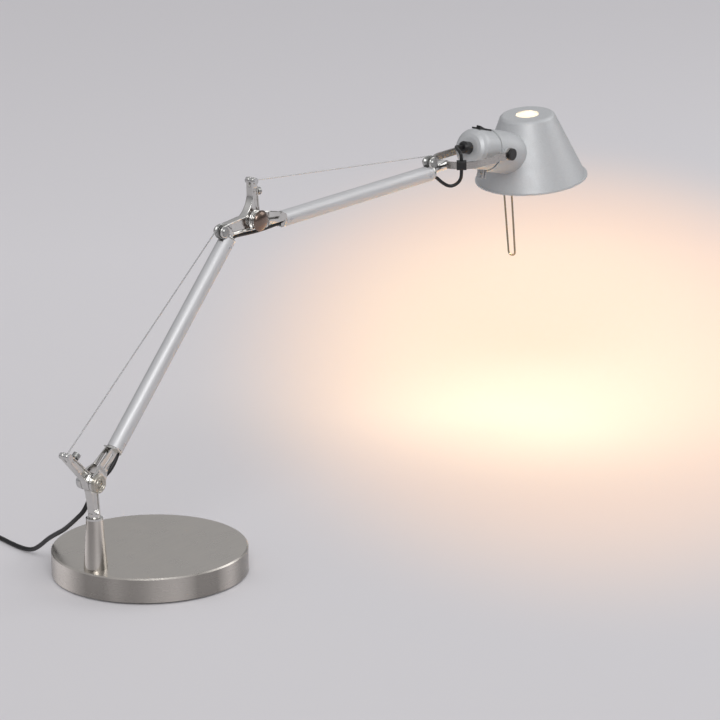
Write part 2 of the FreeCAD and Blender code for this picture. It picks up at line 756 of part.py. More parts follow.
    # spring inside the tube, hooked on the fork's plug
    springLine = axisDrop + size("spring_rise")
    radius, wireRadius = size("spring_radius"), size("spring_wire")
    springLength = size("spring_pitch * spring_turns")
    helix = Part.Wire(Part.makeHelix(size("spring_pitch"), springLength, radius).Edges)
    section = Part.Wire([Part.makeCircle(wireRadius, Vector(radius, 0, 0), farSide)])
    coil = helix.makePipeShell([section], True, True)
    coilStart = Vector(size("spring_start"), 0, springLine)
    coil.Placement = Placement(coilStart, Rotation(Vector(0, 0, 1), alongX))
    hookLength = size("spring_start - tube_start - fork_plug") - 0.1
    eyes = []
    springEnd = size("spring_start") + springLength
    for middle, side in ((size("spring_start"), -1), (springEnd, 1)):
        centre = Vector(middle, 0, springLine)
        cross = rod(wireRadius, centre - Vector(0, 0, radius), centre + Vector(0, 0, radius))
        hook = rod(wireRadius, centre, centre + Vector(side * hookLength, 0, 0))
        eyes += [cross, hook]
    feature(name + "_spring", coil.fuse(eyes), frame)
    # pulley on its pin, and the wire's tail from the pulley to the spring
    rim, groove = "pulley_radius", "pulley_groove"
    pulleyPlace = frame.multiply(Placement(pulleyLocal, Rotation())).multiply(facing(nearSide))
    turnedBody(name + "_pulley", [
        ("pulley_pin_radius + running_gap", "-pulley_half"),
        (rim, "-pulley_half"),
        (f"{rim} - {groove}", "-wire_radius - 0.1"),
        (f"{rim} - {groove}", "wire_radius + 0.1"),
        (rim, "pulley_half"),
        ("pulley_pin_radius + running_gap", "pulley_half"),
    ], pulleyPlace)
    capBase = "pulley_half + pulley_cheek_gap + pulley_cheek"
    turnedBody(name + "_pulley_pin", [
        ("0", f"-({capBase} + pulley_cap_height)"),
        ("pulley_cap_radius - 0.8", f"-({capBase} + pulley_cap_height)"),
        ("pulley_cap_radius", f"-({capBase})"),
        ("pulley_pin_radius", f"-({capBase})"),
        ("pulley_pin_radius", capBase),
        ("pulley_cap_radius", capBase),
        ("pulley_cap_radius - 0.8", f"{capBase} + pulley_cap_height"),
        ("0", f"{capBase} + pulley_cap_height"),
    ], pulleyPlace)
    wrap = size("pulley_radius - pulley_groove + wire_radius + 0.05")
    tip = inArm(frame, tipPoint)
    touch = tangentOver(tip, pulleyLocal, wrap)
    hookEnd = Vector(springEnd + hookLength + 0.3, 0, springLine)
    back = pulleyLocal - hookEnd
    lean = math.atan2(back.z, back.x) - math.asin(wrap / back.Length)
    leave = hookEnd + Vector(math.cos(lean), 0, math.sin(lean)) * math.sqrt(back.Length ** 2 - wrap ** 2)
    edges = [
        Part.Arc(touch, pulleyLocal + alongX * wrap, leave).toShape(),
        Part.LineSegment(leave, hookEnd).toShape(),
    ]
    path = Part.Wire(edges)
    tangent = (touch - pulleyLocal).cross(farSide)
    ring = Part.Wire([Part.makeCircle(size("wire_radius"), touch, tangent)])
    feature(name + "_wire_tail", path.makePipeShell([ring], True, False), frame)


construction = []


def group(label, bodies):
    """One node for fasteners that are alike."""
    compound = doc.addObject("Part::Compound", label)
    compound.Label = label
    compound.Links = bodies
    construction.extend(bodies)


bolts, nuts, washers = [], [], []
makeArm("lower", lowerFrame, lowerPulleyLocal, "lower_knob_radius", lowerTip)
makeArm("upper", upperFrame, upperPulleyLocal, "upper_knob_radius", upperTip)
group("pivot_bolts", bolts)
group("pivot_nuts", nuts)
group("friction_washers", washers)
makeWheel("lower_tension_wheel", pivot, lowerTip, lowerPulley, bracketFeature.Shape)
makeWheel("upper_tension_wheel", elbow, upperTip, upperPulley, elbowFeature.Shape)
doc.recompute()

# ---------------------------------------------------------------- wishbone fork
strapFork = newBody("head_fork", forkFrame)
strap = newSketch(strapFork, "XY_Plane")
outerRadius = size("collar_radius + fork_clear") + strapHalf
backPlace = "-fork_length"


def strapArc(radius):
    circle = Part.Circle(at(backPlace), Vector(0, 0, 1), size(radius))
    arc = strap.addGeometry(Part.ArcOfCircle(circle, math.pi / 2, 3 * math.pi / 2), False)
    bindPoint(strap, arc, 3, backPlace, "0")
    bindRadius(strap, arc, radius)
    return arc


def strapSide(arc, end, y):
    """A prong's straight edge, from the arc's end to the pivot."""
    line = strap.addGeometry(Part.LineSegment(at(backPlace, y), at(0, y)), False)
    strap.addConstraint(Sketcher.Constraint("Tangent", arc, end, line, 1))
    bindPoint(strap, line, 2, "0", y)
    return line


outerFace = "(collar_radius + fork_clear) + strap_thick / 2"
innerFace = "(collar_radius + fork_clear) - strap_thick / 2"
outerArc, innerArc = strapArc(outerFace), strapArc(innerFace)
for end, sign in ((1, ""), (2, "-")):
    outerSide = strapSide(outerArc, end, f"{sign}({outerFace})")
    innerSide = strapSide(innerArc, end, f"{sign}({innerFace})")
    capLine = Part.LineSegment(at(0, f"{sign}({innerFace})"), at(0, f"{sign}({outerFace})"))
    cap = strap.addGeometry(capLine, False)
    strap.addConstraint(Sketcher.Constraint("Coincident", cap, 1, innerSide, 2))
    strap.addConstraint(Sketcher.Constraint("Coincident", cap, 2, outerSide, 2))
pad(strapFork, strap, "strap_height", symmetric=True)
for offset in (innerFace, f"-({outerFace})"):
    eye = newSketch(strapFork, "XZ_Plane", offset)
    drawCircle(eye, "0", "0", "pivot_cap_radius")
    pad(strapFork, eye, "strap_thick")
pivotHole = newSketch(strapFork, "XZ_Plane")
drawCircle(pivotHole, "0", "0", "pivot_screw_radius + running_gap")
pocket(strapFork, pivotHole, "4 * (collar_radius + fork_clear)")
swivelHole = newSketch(strapFork, "YZ_Plane", "-fork_length - (collar_radius + fork_clear)")
drawCircle(swivelHole, "0", "0", "fork_screw_radius + running_gap")
pocket(strapFork, swivelHole, "4 * strap_thick")

strapInside = "-fork_length - (collar_radius + fork_clear) + strap_thick / 2"
screwHeadGap = "0.4"
turnedBody("fork_screw", [
    ("0", "-strap_thick - 12"),
    ("fork_screw_radius", "-strap_thick - 12"),
    ("fork_screw_radius", screwHeadGap),
    ("fork_screw_head", screwHeadGap),
    ("fork_screw_head - 0.6", f"{screwHeadGap} + fork_screw_head_height"),
    ("0", f"{screwHeadGap} + fork_screw_head_height"),
], forkFrame.multiply(facing(alongX, strapInside)))

# cable clip on the strap's round back, near side: the loop of flex passes through it
clipAngle = math.radians(219.6)
clipOut = Vector(math.cos(clipAngle), math.sin(clipAngle), 0)
clipSeat = at("-fork_length") + clipOut * outerRadius
clipDepth, clipHalf, clipLow, clipHigh = 5.2, 4.5, -3.0, 5.5
clipPlace = Placement(clipSeat, Rotation(alongX, clipOut))
clip = block(Vector(-0.6, -clipHalf, clipLow), Vector(clipDepth, clipHalf, clipHigh))
clip = clip.makeFillet(1.0, [edge for edge in clip.Edges if edge.CenterOfMass.x > clipDepth - 0.1])
clipMiddle = Vector(clipDepth / 2, 0, 0)
flexHole = size("flex_radius + clip_gap")
holeLow = clipMiddle + Vector(0, 0, clipLow - 1)
clip = clip.cut(rod(flexHole, holeLow, clipMiddle + Vector(0, 0, clipHigh + 1)))
clip.Placement = clipPlace
strapCylinder = rod(outerRadius + size("fixed_gap"), at("-fork_length", 0, -30), at("-fork_length", 0, 30))
feature("cable_clip", clip.cut(strapCylinder), forkFrame)

# ---------------------------------------------------------------- shade
shadeOuter = newBody("shade_spinning", shadeFrame)
wallTop = "shade_height - shade_wall"
slope = "(shade_bottom_radius - shade_top_radius) / shade_height"
slant = f"shade_wall * sqrt(1 + ({slope})^2)"
turn(shadeOuter, [
    (f"shade_bottom_radius - {slant}", "0"),
    ("shade_bottom_radius", "-0.4 * shade_wall"),
    ("shade_bottom_radius + shade_lip", "-0.4 * shade_wall"),
    ("shade_bottom_radius + shade_lip", "0.6 * shade_wall"),
    (f"shade_bottom_radius - 0.6 * shade_wall * {slope}", "0.6 * shade_wall"),
    (f"shade_top_radius + shade_round * {slope}", "shade_height - shade_round"),
    ("shade_top_radius - 0.3 * shade_round", "shade_height - 0.3 * shade_round"),
    ("shade_top_radius - shade_round", "shade_height"),
    ("shade_hole_radius", "shade_height"),
    ("shade_hole_radius", wallTop),
    (f"shade_top_radius - {slant} - shade_round * 0.3", wallTop),
    (
        f"shade_top_radius - {slant} + shade_round * {slope}",
        "shade_height - shade_wall - shade_round * 0.6",
    ),
])
doc.recompute()
holderBore = doc.addObject("Part::Cylinder", "holder_bore")
holderBore.setExpression("Radius", full("holder_radius + 0.3"))
holderBore.setExpression("Height", full("shade_x"))
holderBore.Placement = alongHousing
shade = doc.addObject("Part::Cut", "shade")
shade.Base = shadeOuter
shade.Tool = holderBore
shade.Label = "shade"


def shadeCone(inset, low, high):
    """The shade's cone as a solid between two heights, set in from its outer face."""
    fall = size(slope)

    def reach(height):
        return size("shade_bottom_radius") - fall * height - inset * math.sqrt(1 + fall * fall)
    cone = Part.makeCone(reach(low), reach(high), high - low, Vector(0, 0, low))
    cone.Placement = shadeFrame
    return cone


# ---------------------------------------------------------------- collar, housing and what they hold
def along(radius, low, high):
    return rod(radius, Vector(low, 0, 0), Vector(high, 0, 0))


seam = size("seam_reach")
collarOuter = size("collar_radius")
collarInner = size("collar_radius - collar_wall")
holderRadius = size("holder_radius")
strapFace = size("collar_radius + fork_clear") - strapHalf
collar = along(collarOuter, seam, 45.0).cut(along(collarInner, seam - 1, 46.0))
collar = collar.fuse(along(collarInner + 0.5, 8.0, 11.0).cut(along(holderRadius + 0.05, 7.0, 12.0)))
for side in (-1, 1):
    spigot = rod(size("pivot_cap_radius") - 0.8, Vector(0, side * (collarInner - 1.5), 0),
                 Vector(0, side * (strapFace - 0.1), 0))
    collar = collar.fuse(spigot).cut(along(holderRadius + 1.0, -6.9, 7.9))
for side in (-1, 1):
    threadStart = Vector(0, side * (collarInner - 3.0), 0)
    thread = rod(size("pivot_screw_radius"), threadStart, Vector(0, side * 40.0, 0))
    collar = collar.cut(thread)
tabThick, tabHalf, tabDrop, tabHole = 1.4, 3.4, 7.0, 1.3
clampLine = -collarOuter - tabDrop / 2


def clampTab(start):
    """A small ear below the housing, with a screw hole along the housing's axis."""
    earTop = Vector(start + tabThick, tabHalf, -collarOuter + 2.2)
    ear = block(Vector(start, -tabHalf, -collarOuter - tabDrop), earTop)
    middle = Vector(start - 1, 0, clampLine)
    return ear.cut(rod(tabHole, middle, middle + Vector(tabThick + 2, 0, 0)))


housingRadius = size("collar_radius - collar_step")
collarTabStart = seam + 1.2
housingTabStart = seam - 1.2 - tabThick
collar = collar.fuse(clampTab(collarTabStart))
collar.Placement = housingFrame
wallBeyond = shadeCone(0.0, -20.0, 90.0)
feature("shade_collar", collar.cut(wallBeyond).removeSplitter())

shell = newBody("housing_shell", alongHousing)
turn(shell, [
    ("flex_radius + 0.6", "-housing_back"),
    ("(collar_radius - collar_step) - housing_round", "-housing_back"),
    ("(collar_radius - collar_step) - housing_round * 0.617", "-housing_back + housing_round * 0.076"),
    ("(collar_radius - collar_step) - housing_round * 0.293", "-housing_back + housing_round * 0.293"),
    ("(collar_radius - collar_step) - housing_round * 0.076", "-housing_back + housing_round * 0.617"),
    ("collar_radius - collar_step", "-housing_back + housing_round"),
    ("collar_radius - collar_step", "seam_reach - 0.4"),
    ("(collar_radius - collar_step) - housing_wall", "seam_reach - 0.4"),
    ("(collar_radius - collar_step) - housing_wall", "-housing_back + housing_round"),
    (
        "(collar_radius - collar_step) - housing_wall - housing_round * 0.25",
        "-housing_back + housing_wall + housing_round * 0.25",
    ),
    ("(collar_radius - collar_step) - housing_round", "-housing_back + housing_wall"),
    ("flex_radius + 0.6", "-housing_back + housing_wall"),
])
doc.recompute()
switchMiddle = size("switch_reach")
switchHalfLength, switchHalfWidth = size("switch_length / 2"), size("switch_width / 2")
bodyHalfLength, bodyHalfWidth = switchHalfLength - 1.5, switchHalfWidth - 1.0


def switchBlock(halfLength, halfWidth, low, high):
    nearCorner = Vector(switchMiddle - halfLength, -halfWidth, low)
    return block(nearCorner, Vector(switchMiddle + halfLength, halfWidth, high))


window = switchBlock(bodyHalfLength, bodyHalfWidth, 8.0, 30.0)
ear = clampTab(housingTabStart)
for shape in (window, ear):
    shape.Placement = housingFrame
hollow = along(housingRadius - 0.5, -20.0, seam)
hollow.Placement = housingFrame
housing = shell.Shape.cut(window).fuse(ear.cut(hollow))
feature("lampholder_housing", housing.removeSplitter())

clampStart, clampEnd = housingTabStart - 1.6, collarTabStart + tabThick + 3.0
clampShank = along(tabHole - 0.1, clampStart, clampEnd)
clampScrew = clampShank.fuse(along(2.4, clampStart - 0.1, housingTabStart - 0.02))
clampScrew = clampScrew.fuse(along(2.3, collarTabStart + tabThick + 0.02, collarTabStart + tabThick + 2.0))
clampScrew.translate(Vector(0, 0, clampLine))
feature("clamp_screw", clampScrew.removeSplitter(), housingFrame)
doc.recompute()

# ---------------------------------------------------------------- switch, gland, lampholder, bulb
frameWall = size("switch_frame_wall")
frameTop = housingRadius + 1.0
switchFrame = switchBlock(bodyHalfLength - 0.05, bodyHalfWidth - 0.05, holderRadius + 0.3, frameTop)
flangePlate = switchBlock(switchHalfLength, switchHalfWidth, housingRadius - 1.2, frameTop)
flangePlate = flangePlate.cut(along(housingRadius + 0.02, -40.0, 5.0))
switchFrame = switchFrame.fuse(flangePlate)
spaceLength, spaceWidth = bodyHalfLength - 0.05 - frameWall, bodyHalfWidth - 0.05 - frameWall
rockerSpace = switchBlock(spaceLength, spaceWidth, holderRadius + 1.5, 40.0)
switchFrame = switchFrame.cut(rockerSpace)
rockerPivot = Vector(switchMiddle, 0, housingRadius - 1.5)
rockerPin = 1.0
switchFrame = switchFrame.cut(disc(rockerPivot, rockerPin + 0.05, bodyHalfWidth - 0.6))
feature("switch_frame", switchFrame.removeSplitter(), housingFrame)

gapSide = size("rocker_gap")
halfRocker = bodyHalfLength - frameWall - gapSide - 0.6
rise = size("rocker_rise")
outlineZ = rockerPivot.z
rockerOutline = [
    Vector(switchMiddle - halfRocker, 0, outlineZ + 0.4),
    Vector(switchMiddle - halfRocker, 0, outlineZ + rise + 1.9),
    Vector(switchMiddle, 0, outlineZ + rise + 0.5),
    Vector(switchMiddle + halfRocker, 0, outlineZ + rise - 0.6),
    Vector(switchMiddle + halfRocker, 0, outlineZ - 0.9),
    Vector(switchMiddle, 0, outlineZ - 2.0),
]
rockerFace = Part.Face(Part.makePolygon(rockerOutline + rockerOutline[:1]))
rockerHalfWidth = bodyHalfWidth - 0.05 - frameWall - gapSide
rocker = thick(rockerFace, -rockerHalfWidth, rockerHalfWidth)
rocker = rocker.fuse(disc(rockerPivot, rockerPin, bodyHalfWidth - 0.7))
feature("switch_rocker", rocker.removeSplitter(), housingFrame)

turnedBody("cable_gland", [
    ("flex_radius + clip_gap", "-4"),
    ("flex_radius + 0.5", "-4"),
    ("flex_radius + 0.5", "0"),
    ("gland_radius - 0.6", "0"),
    ("gland_radius", "0.6"),
    ("gland_radius", "gland_reach - 2"),
    ("gland_radius - 2", "gland_reach"),
    ("flex_radius + clip_gap", "gland_reach"),
], housingFrame.multiply(facing(alongX * -1, "-housing_back")))

turnedBody("lampholder", [
    ("0", "-holder_back"),
    ("holder_radius - 2", "-holder_back"),
    ("holder_radius", "-holder_back + 2"),
    ("holder_radius", "holder_front - 1"),
    ("holder_radius - 1", "holder_front"),
    ("cap_radius + 0.3", "holder_front"),
    ("cap_radius + 0.3", "-cap_back - 2"),
    ("0", "-cap_back - 2"),
], alongHousing)
turnedBody("lampholder_contact", [
    ("0", "-cap_back - 2"),
    ("3", "-cap_back - 2"),
    ("2", "-cap_back - 0.3"),
    ("0", "-cap_back - 0.3"),
], alongHousing)
capEnd = "cap_length - cap_back"
capTurns = []
for ridge in range(5):
    start = f"-cap_back + 4 + {ridge} * 2.8"
    capTurns += [("cap_radius - 0.7", start), ("cap_radius", start + " + 1.4")]
turnedBody("bulb_cap", [
    ("0", "-cap_back"),
    ("2.4", "-cap_back"),
    ("2.8", "-cap_back + 0.8"),
    ("cap_radius - 0.9", "-cap_back + 2.6"),
] + capTurns + [
    ("cap_radius - 0.5", capEnd),
    ("0", capEnd),
], alongHousing)


def bulbOutline(inset):
    """Half outline of the bulb's glass: a neck that runs smoothly into a globe."""
    neck = size("cap_radius") - 0.4 - inset
    start, centre, radius = size(capEnd), size("globe_reach"), size("globe_radius") - inset
    join = math.radians(140.0)
    joined = Vector(radius * math.sin(join), 0, centre + radius * math.cos(join))
    tip = Vector(0, 0, centre + radius)
    side = Vector(radius * math.sin(join / 2), 0, centre + radius * math.cos(join / 2))
    return [
        Part.LineSegment(Vector(0, 0, start), Vector(neck, 0, start)).toShape(),
        Part.LineSegment(Vector(neck, 0, start), Vector(neck, 0, start + 3)).toShape(),
        Part.LineSegment(Vector(neck, 0, start + 3), joined).toShape(),
        Part.Arc(joined, side, tip).toShape(),
        Part.LineSegment(tip, Vector(0, 0, start)).toShape(),
    ]


def turnedFace(edges):
    return Part.Face(Part.Wire(Part.sortEdges(edges)[0])).revolve(Vector(), Vector(0, 0, 1), 360)


glass = turnedFace(bulbOutline(0.0)).cut(turnedFace(bulbOutline(0.8)))
feature("bulb_glass", glass, alongHousing)


# ---------------------------------------------------------------- handle loop in the shade's frame
def pipe(points, radius, turns=None):
    """A tube along straight runs joined by tangent arcs; turns gives each arc's radius."""
    edges = []
    last = points[0]
    radii = []
    for before, corner, after in zip(points, points[1:], points[2:]):
        into, out = (corner - before).normalize(), (after - corner).normalize()
        half = into.getAngle(out) / 2
        shorter = min(before.distanceToPoint(corner), corner.distanceToPoint(after))
        reach = 0.45 * shorter if turns is None else turns * math.tan(half)
        radii.append(reach / math.tan(half))
        start, end = corner - into * reach, corner + out * reach
        middle = corner + (out - into).normalize() * (radii[-1] / math.cos(half) - radii[-1])
        edges += [Part.LineSegment(last, start).toShape(), Part.Arc(start, middle, end).toShape()]
        last = end
    edges.append(Part.LineSegment(last, points[-1]).toShape())
    path = Part.Wire(edges)
    ring = Part.Wire([Part.makeCircle(radius, points[0], points[1] - points[0])])
    tube = path.makePipeShell([ring], True, False)
    expected = math.pi * radius ** 2 * path.Length
    return tube, path.Length, radii, tube.Volume / expected


def cordFeature(label, points, radius, place=world):
    tube, length, radii, share = pipe(points, radius)
    print(f"{label}: length {length:.0f}, radii {[round(turn, 1) for turn in radii]}, volume {share:.3f}")
    return feature(label, tube, place)


radial, loopHalf = -size("loop_radial"), size("loop_half")
clipTop, clipBottom = 17.0, 8.0
loopTop = clipTop - 2.0
bendHalf = loopHalf - 0.9
bendRadius = bendHalf - 0.05
lowest = -size("loop_low")
loopPoints = [
    Vector(radial, -loopHalf, loopTop),
    Vector(radial, -bendHalf, lowest),
    Vector(radial, bendHalf, lowest),
    Vector(radial, loopHalf, loopTop),
]
loop = pipe(loopPoints, size("loop_wire"), bendRadius)[0]
feature("handle_loop", loop, shadeFrame)
loopClip = block(Vector(radial - 8.0, -8.5, clipBottom), Vector(radial + 3.0, 8.5, clipTop))
loopClip.Placement = shadeFrame
loopClip = loopClip.common(shadeCone(size("shade_wall") + 0.12, 0.0, size("shade_height")))
looseLoop = pipe(loopPoints, size("loop_wire") + 0.03, bendRadius)[0]
looseLoop.Placement = shadeFrame
feature("handle_clip", loopClip.cut(looseLoop).removeSplitter())

# pivot screws with black caps, one each side
screws = []
for side in (-1, 1):
    capFace = side * (size("collar_radius + fork_clear") + strapHalf + 0.1)
    shank = rod(size("pivot_screw_radius"), Vector(0, side * (collarInner - 2.5), 0), Vector(0, capFace, 0))
    capTop = Vector(0, capFace + side * size("pivot_cap_height"), 0)
    cap = rod(size("pivot_cap_radius") - 0.3, Vector(0, capFace, 0), capTop)
    rimEdges = [edge for edge in cap.Edges if abs(edge.CenterOfMass.y) > abs(capFace) + 1.0 and edge.Closed]
    screws.append(shank.fuse(cap.makeFillet(0.9, rimEdges)))
feature("pivot_screws", Part.makeCompound(screws), forkFrame)
doc.recompute()

# ---------------------------------------------------------------- flex inside the arms and at the joints
flexRadius, cordRadius = size("flex_radius"), size("cord_radius")
flexDrop = axisDrop - size("cord_drop")
flexStart = size("tube_start") + 2.0
flexEnd = tubeEnd + size("end_flange")
for name, frame in (("lower", lowerFrame), ("upper", upperFrame)):
    inner = rod(flexRadius, Vector(flexStart, 0, flexDrop), Vector(flexEnd, 0, flexDrop))
    feature(name + "_flex", inner, frame)
grommetStart = size("tube_start") - 4.0
grommetBack = Vector(grommetStart, 0, flexDrop)
grommet = rod(size("notch_half") - 0.05, grommetBack, grommetBack + alongX * 5.5)
grommet = grommet.cut(rod(cordRadius + 0.02, grommetBack - alongX, grommetBack + alongX * 9))
feature("cord_grommet", grommet, lowerFrame)

elbowStart = lowerFrame.multVec(Vector(flexEnd, 0, flexDrop))
elbowEnd = upperFrame.multVec(Vector(flexStart, 0, flexDrop))
elbowLow = elbow.z - bossRadius - flexRadius - 1.2
cordFeature("elbow_flex", [
    elbowStart,
    elbowStart + Vector(5.0, 0, 2.0),
    Vector(elbow.x - 18.0, 0, elbowLow + 1.0),
    Vector(elbow.x - 7.0, 0, elbowLow + 0.2),
    Vector(elbow.x + 5.0, 0, elbowLow - 0.4),
    upperFrame.multVec(Vector(flexStart - 22.0, 0, flexDrop - 0.6)),
    upperFrame.multVec(Vector(flexStart - 10.0, 0, flexDrop)),
    elbowEnd,
], flexRadius)

clipCentre = forkFrame.multVec(clipPlace.multVec(clipMiddle + Vector(0, 0, (clipLow + clipHigh) / 2)))
straight = (clipHigh - clipLow) / 2 + 3.2
clipUp, clipDown = clipCentre + Vector(0, 0, straight), clipCentre - Vector(0, 0, straight)
loopStart = upperFrame.multVec(Vector(flexEnd, 0, flexDrop))
cordFeature("head_flex_loop", [
    loopStart,
    loopStart + Vector(6.4, -0.4, -0.9),
    loopStart + Vector(12.9, -2.8, -7.6),
    loopStart + Vector(18.9, -6.5, -12.3),
    clipDown + Vector(-1.6, 6.6, -12.3),
    clipDown + Vector(2.0, 2.6, -7.4),
    clipDown,
    clipCentre,
], flexRadius)
glandEnd = housingFrame.multVec(at("-housing_back - gland_reach + 1"))
glandOut = housingFrame.Rotation.multVec(alongX * -1)
cordFeature("head_flex_link", [
    glandEnd,
    glandEnd + glandOut * 7.0 + Vector(0, -0.3, 0.2),
    glandEnd + Vector(-14.5, -3.0, 3.8),
    glandEnd + Vector(-20.5, -9.3, 3.4),
    clipUp + Vector(0.2, 1.6, 4.6),
    clipUp,
    clipCentre,
], flexRadius)

# ---------------------------------------------------------------- mains cord
cordJoin = Vector(-65.0, 9.5, 81.0)
cordFeature("joint_cord", [
    lowerFrame.multVec(Vector(flexStart, 0, flexDrop)),
    lowerFrame.multVec(Vector(flexStart - 12.0, 0, flexDrop)),
    Vector(-56.0, 4.6, 99.5),
    Vector(-61.6, 7.6, 90.0),
    cordJoin,
], cordRadius)
floorRun = cordRadius + size("floor_gap")
coilSection = size("coil_section")
coilMiddle = Vector(-50.0, 232.0, coilSection + size("floor_gap"))
mainsRoute = [
    cordJoin,
    cordJoin + Vector(-3.4, 1.9, -9.0),
    Vector(-67.0, 22.0, 62.5),
    Vector(-60.0, 36.5, 52.0),
    Vector(-53.0, 51.0, 42.0),
    Vector(-46.5, 66.0, 33.5),
    Vector(-40.0, 82.0, 24.0),
    Vector(-34.0, 97.5, 12.5),
    Vector(-29.0, 112.0, 4.0),
    Vector(-26.5, 127.0, floorRun),
    Vector(-22.5, 144.0, floorRun),
    Vector(-17.5, 161.0, floorRun),
    Vector(-14.5, 178.0, floorRun),
    Vector(-15.0, 194.0, floorRun),
    Vector(-19.0, 209.5, 3.6),
    Vector(-25.4, 222.6, coilMiddle.z),
]
cordFeature("mains_cord", mainsRoute, cordRadius)

coil = doc.addObject("Part::Torus", "cord_coil")
coil.Label = "cord_coil"
coil.setExpression("Radius1", full("coil_radius"))
coil.setExpression("Radius2", full("coil_section"))
coil.Placement = Placement(coilMiddle, Rotation())

# Flat two-pin plug with its moulded strain relief: in its own frame the pins point along -Y.
plugWidth, plugThick = size("mains_plug_width"), size("mains_plug_thick")
plugDepth = size("mains_plug_length")
reliefLength = 12.0
plugHeading = math.radians(205.0)
plugOut = Vector(math.cos(plugHeading), math.sin(plugHeading), 0)
plugAside = Vector(math.sin(plugHeading), -math.cos(plugHeading), 0) * size("coil_radius + plug_aside")
coilReach = math.sqrt(size("coil_radius + coil_section") ** 2 - plugAside.Length ** 2)
plugBack = coilMiddle + plugAside + plugOut * (coilReach + reliefLength - 1.0)
plugPlace = Placement(plugBack, Rotation(nearSide, plugOut))


def plugSection(y, width, thickness):
    """A rounded flat section of the plug, square to Y."""
    half = Vector(width / 2 - thickness / 2, 0, 0)
    middle = Vector(0, y, 0)
    rise = Vector(0, 0, thickness / 2)
    out = Vector(width / 2, 0, 0)
    edges = [
        Part.LineSegment(middle - half + rise, middle + half + rise).toShape(),
        Part.Arc(middle + half + rise, middle + out, middle + half - rise).toShape(),
        Part.LineSegment(middle + half - rise, middle - half - rise).toShape(),
        Part.Arc(middle - half - rise, middle - out, middle - half + rise).toShape(),
    ]
    return Part.Wire(edges)


plugBody = Part.makeLoft([
    plugSection(0.0, 0.46 * plugWidth, 0.8 * plugThick),
    plugSection(-0.3 * plugDepth, 0.8 * plugWidth, plugThick),
    plugSection(-0.6 * plugDepth, plugWidth, plugThick),
    plugSection(-plugDepth, plugWidth * 0.92, plugThick),
], True, True)
relief = Part.makeCone(4.8, 3.0, reliefLength + 1.0, nearSide, farSide)
plugBody = plugBody.fuse(relief)
# each pin: a slim shank inside the plug and its sleeve, then the bare end
pinRadius, pinHalf = size("mains_pin_radius"), size("mains_pin_pitch / 2")
shankRadius, sleeveRadius = size("mains_shank_radius"), size("mains_sleeve_radius")
pins = []
for side in (-1, 1):
    foot = Vector(side * pinHalf, -plugDepth + 8.0, 0)
    bare = Vector(side * pinHalf, -plugDepth - size("mains_sleeve_length"), 0)
    nose = Vector(side * pinHalf, -plugDepth - size("mains_pin_length"), 0)
    pin = rod(pinRadius, bare, nose)
    noseEdges = [edge for edge in pin.Edges if edge.Closed and edge.CenterOfMass.y < nose.y + 0.1]
    pins.append(rod(shankRadius, foot, bare).fuse(pin.makeFillet(0.8, noseEdges)))
    plugBody = plugBody.fuse(rod(sleeveRadius, foot, bare)).cut(rod(shankRadius, foot, bare))
feature("plug_pins", Part.makeCompound(pins), plugPlace)
feature("plug_body", plugBody, plugPlace)
doc.recompute()

# ---------------------------------------------------------------- checks and files
construction += [shell, shadeOuter, holderBore]
kinds = ("PartDesign::Body", "Part::Feature", "Part::Cut", "Part::Torus", "Part::Compound")
for item in doc.Objects:
    if "Invalid" in item.State or "Error" in item.State:
        raise ValueError(f"{item.Label} failed: {item.State}")
pieces = [item for item in doc.Objects if item.TypeId in kinds and item not in construction]
for item in pieces:
    if item.Shape.isNull() or not item.Shape.isValid() or not item.Shape.Solids:
        raise ValueError(f"{item.Label} has no valid solid")
for item in pieces:
    item.Shape.exportStep(f"parts/{item.Label}.step")
print(len(pieces), "pieces written")
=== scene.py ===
import json
import math

import bmesh
import bpy
from mathutils import Matrix, Vector


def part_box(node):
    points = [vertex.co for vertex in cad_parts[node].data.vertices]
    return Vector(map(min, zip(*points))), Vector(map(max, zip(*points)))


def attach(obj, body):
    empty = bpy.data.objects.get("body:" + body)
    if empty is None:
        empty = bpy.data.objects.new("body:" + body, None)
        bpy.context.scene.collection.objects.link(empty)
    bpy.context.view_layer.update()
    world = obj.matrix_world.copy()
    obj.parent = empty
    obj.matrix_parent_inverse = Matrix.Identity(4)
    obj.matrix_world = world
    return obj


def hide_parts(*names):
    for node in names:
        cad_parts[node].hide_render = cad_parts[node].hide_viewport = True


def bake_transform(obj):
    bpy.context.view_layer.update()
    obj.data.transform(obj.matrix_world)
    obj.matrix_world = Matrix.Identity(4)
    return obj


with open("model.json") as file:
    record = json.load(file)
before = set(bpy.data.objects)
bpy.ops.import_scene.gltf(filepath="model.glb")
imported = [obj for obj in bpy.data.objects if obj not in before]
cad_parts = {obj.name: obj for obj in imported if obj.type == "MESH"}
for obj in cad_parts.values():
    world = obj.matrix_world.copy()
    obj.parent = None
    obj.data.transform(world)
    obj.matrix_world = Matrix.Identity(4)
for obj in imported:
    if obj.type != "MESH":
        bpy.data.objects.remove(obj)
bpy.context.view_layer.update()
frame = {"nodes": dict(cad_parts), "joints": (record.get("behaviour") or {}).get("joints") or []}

nodes = frame["nodes"]
pivots = {joint["name"]: Vector(joint["pos_m"]) for joint in frame["joints"]}
scene = bpy.context.scene
print("frame loaded:", len(nodes), "nodes")

# camera: place in metres, heading from +Y towards +X, dip below the horizon
camera = {"place": (-2.448, -2.1785, 1.1677), "heading": 51.53, "dip": 16.66, "roll": -0.57, "lens": 200.9,
          "sensor": 36, "clipEnd": 60}


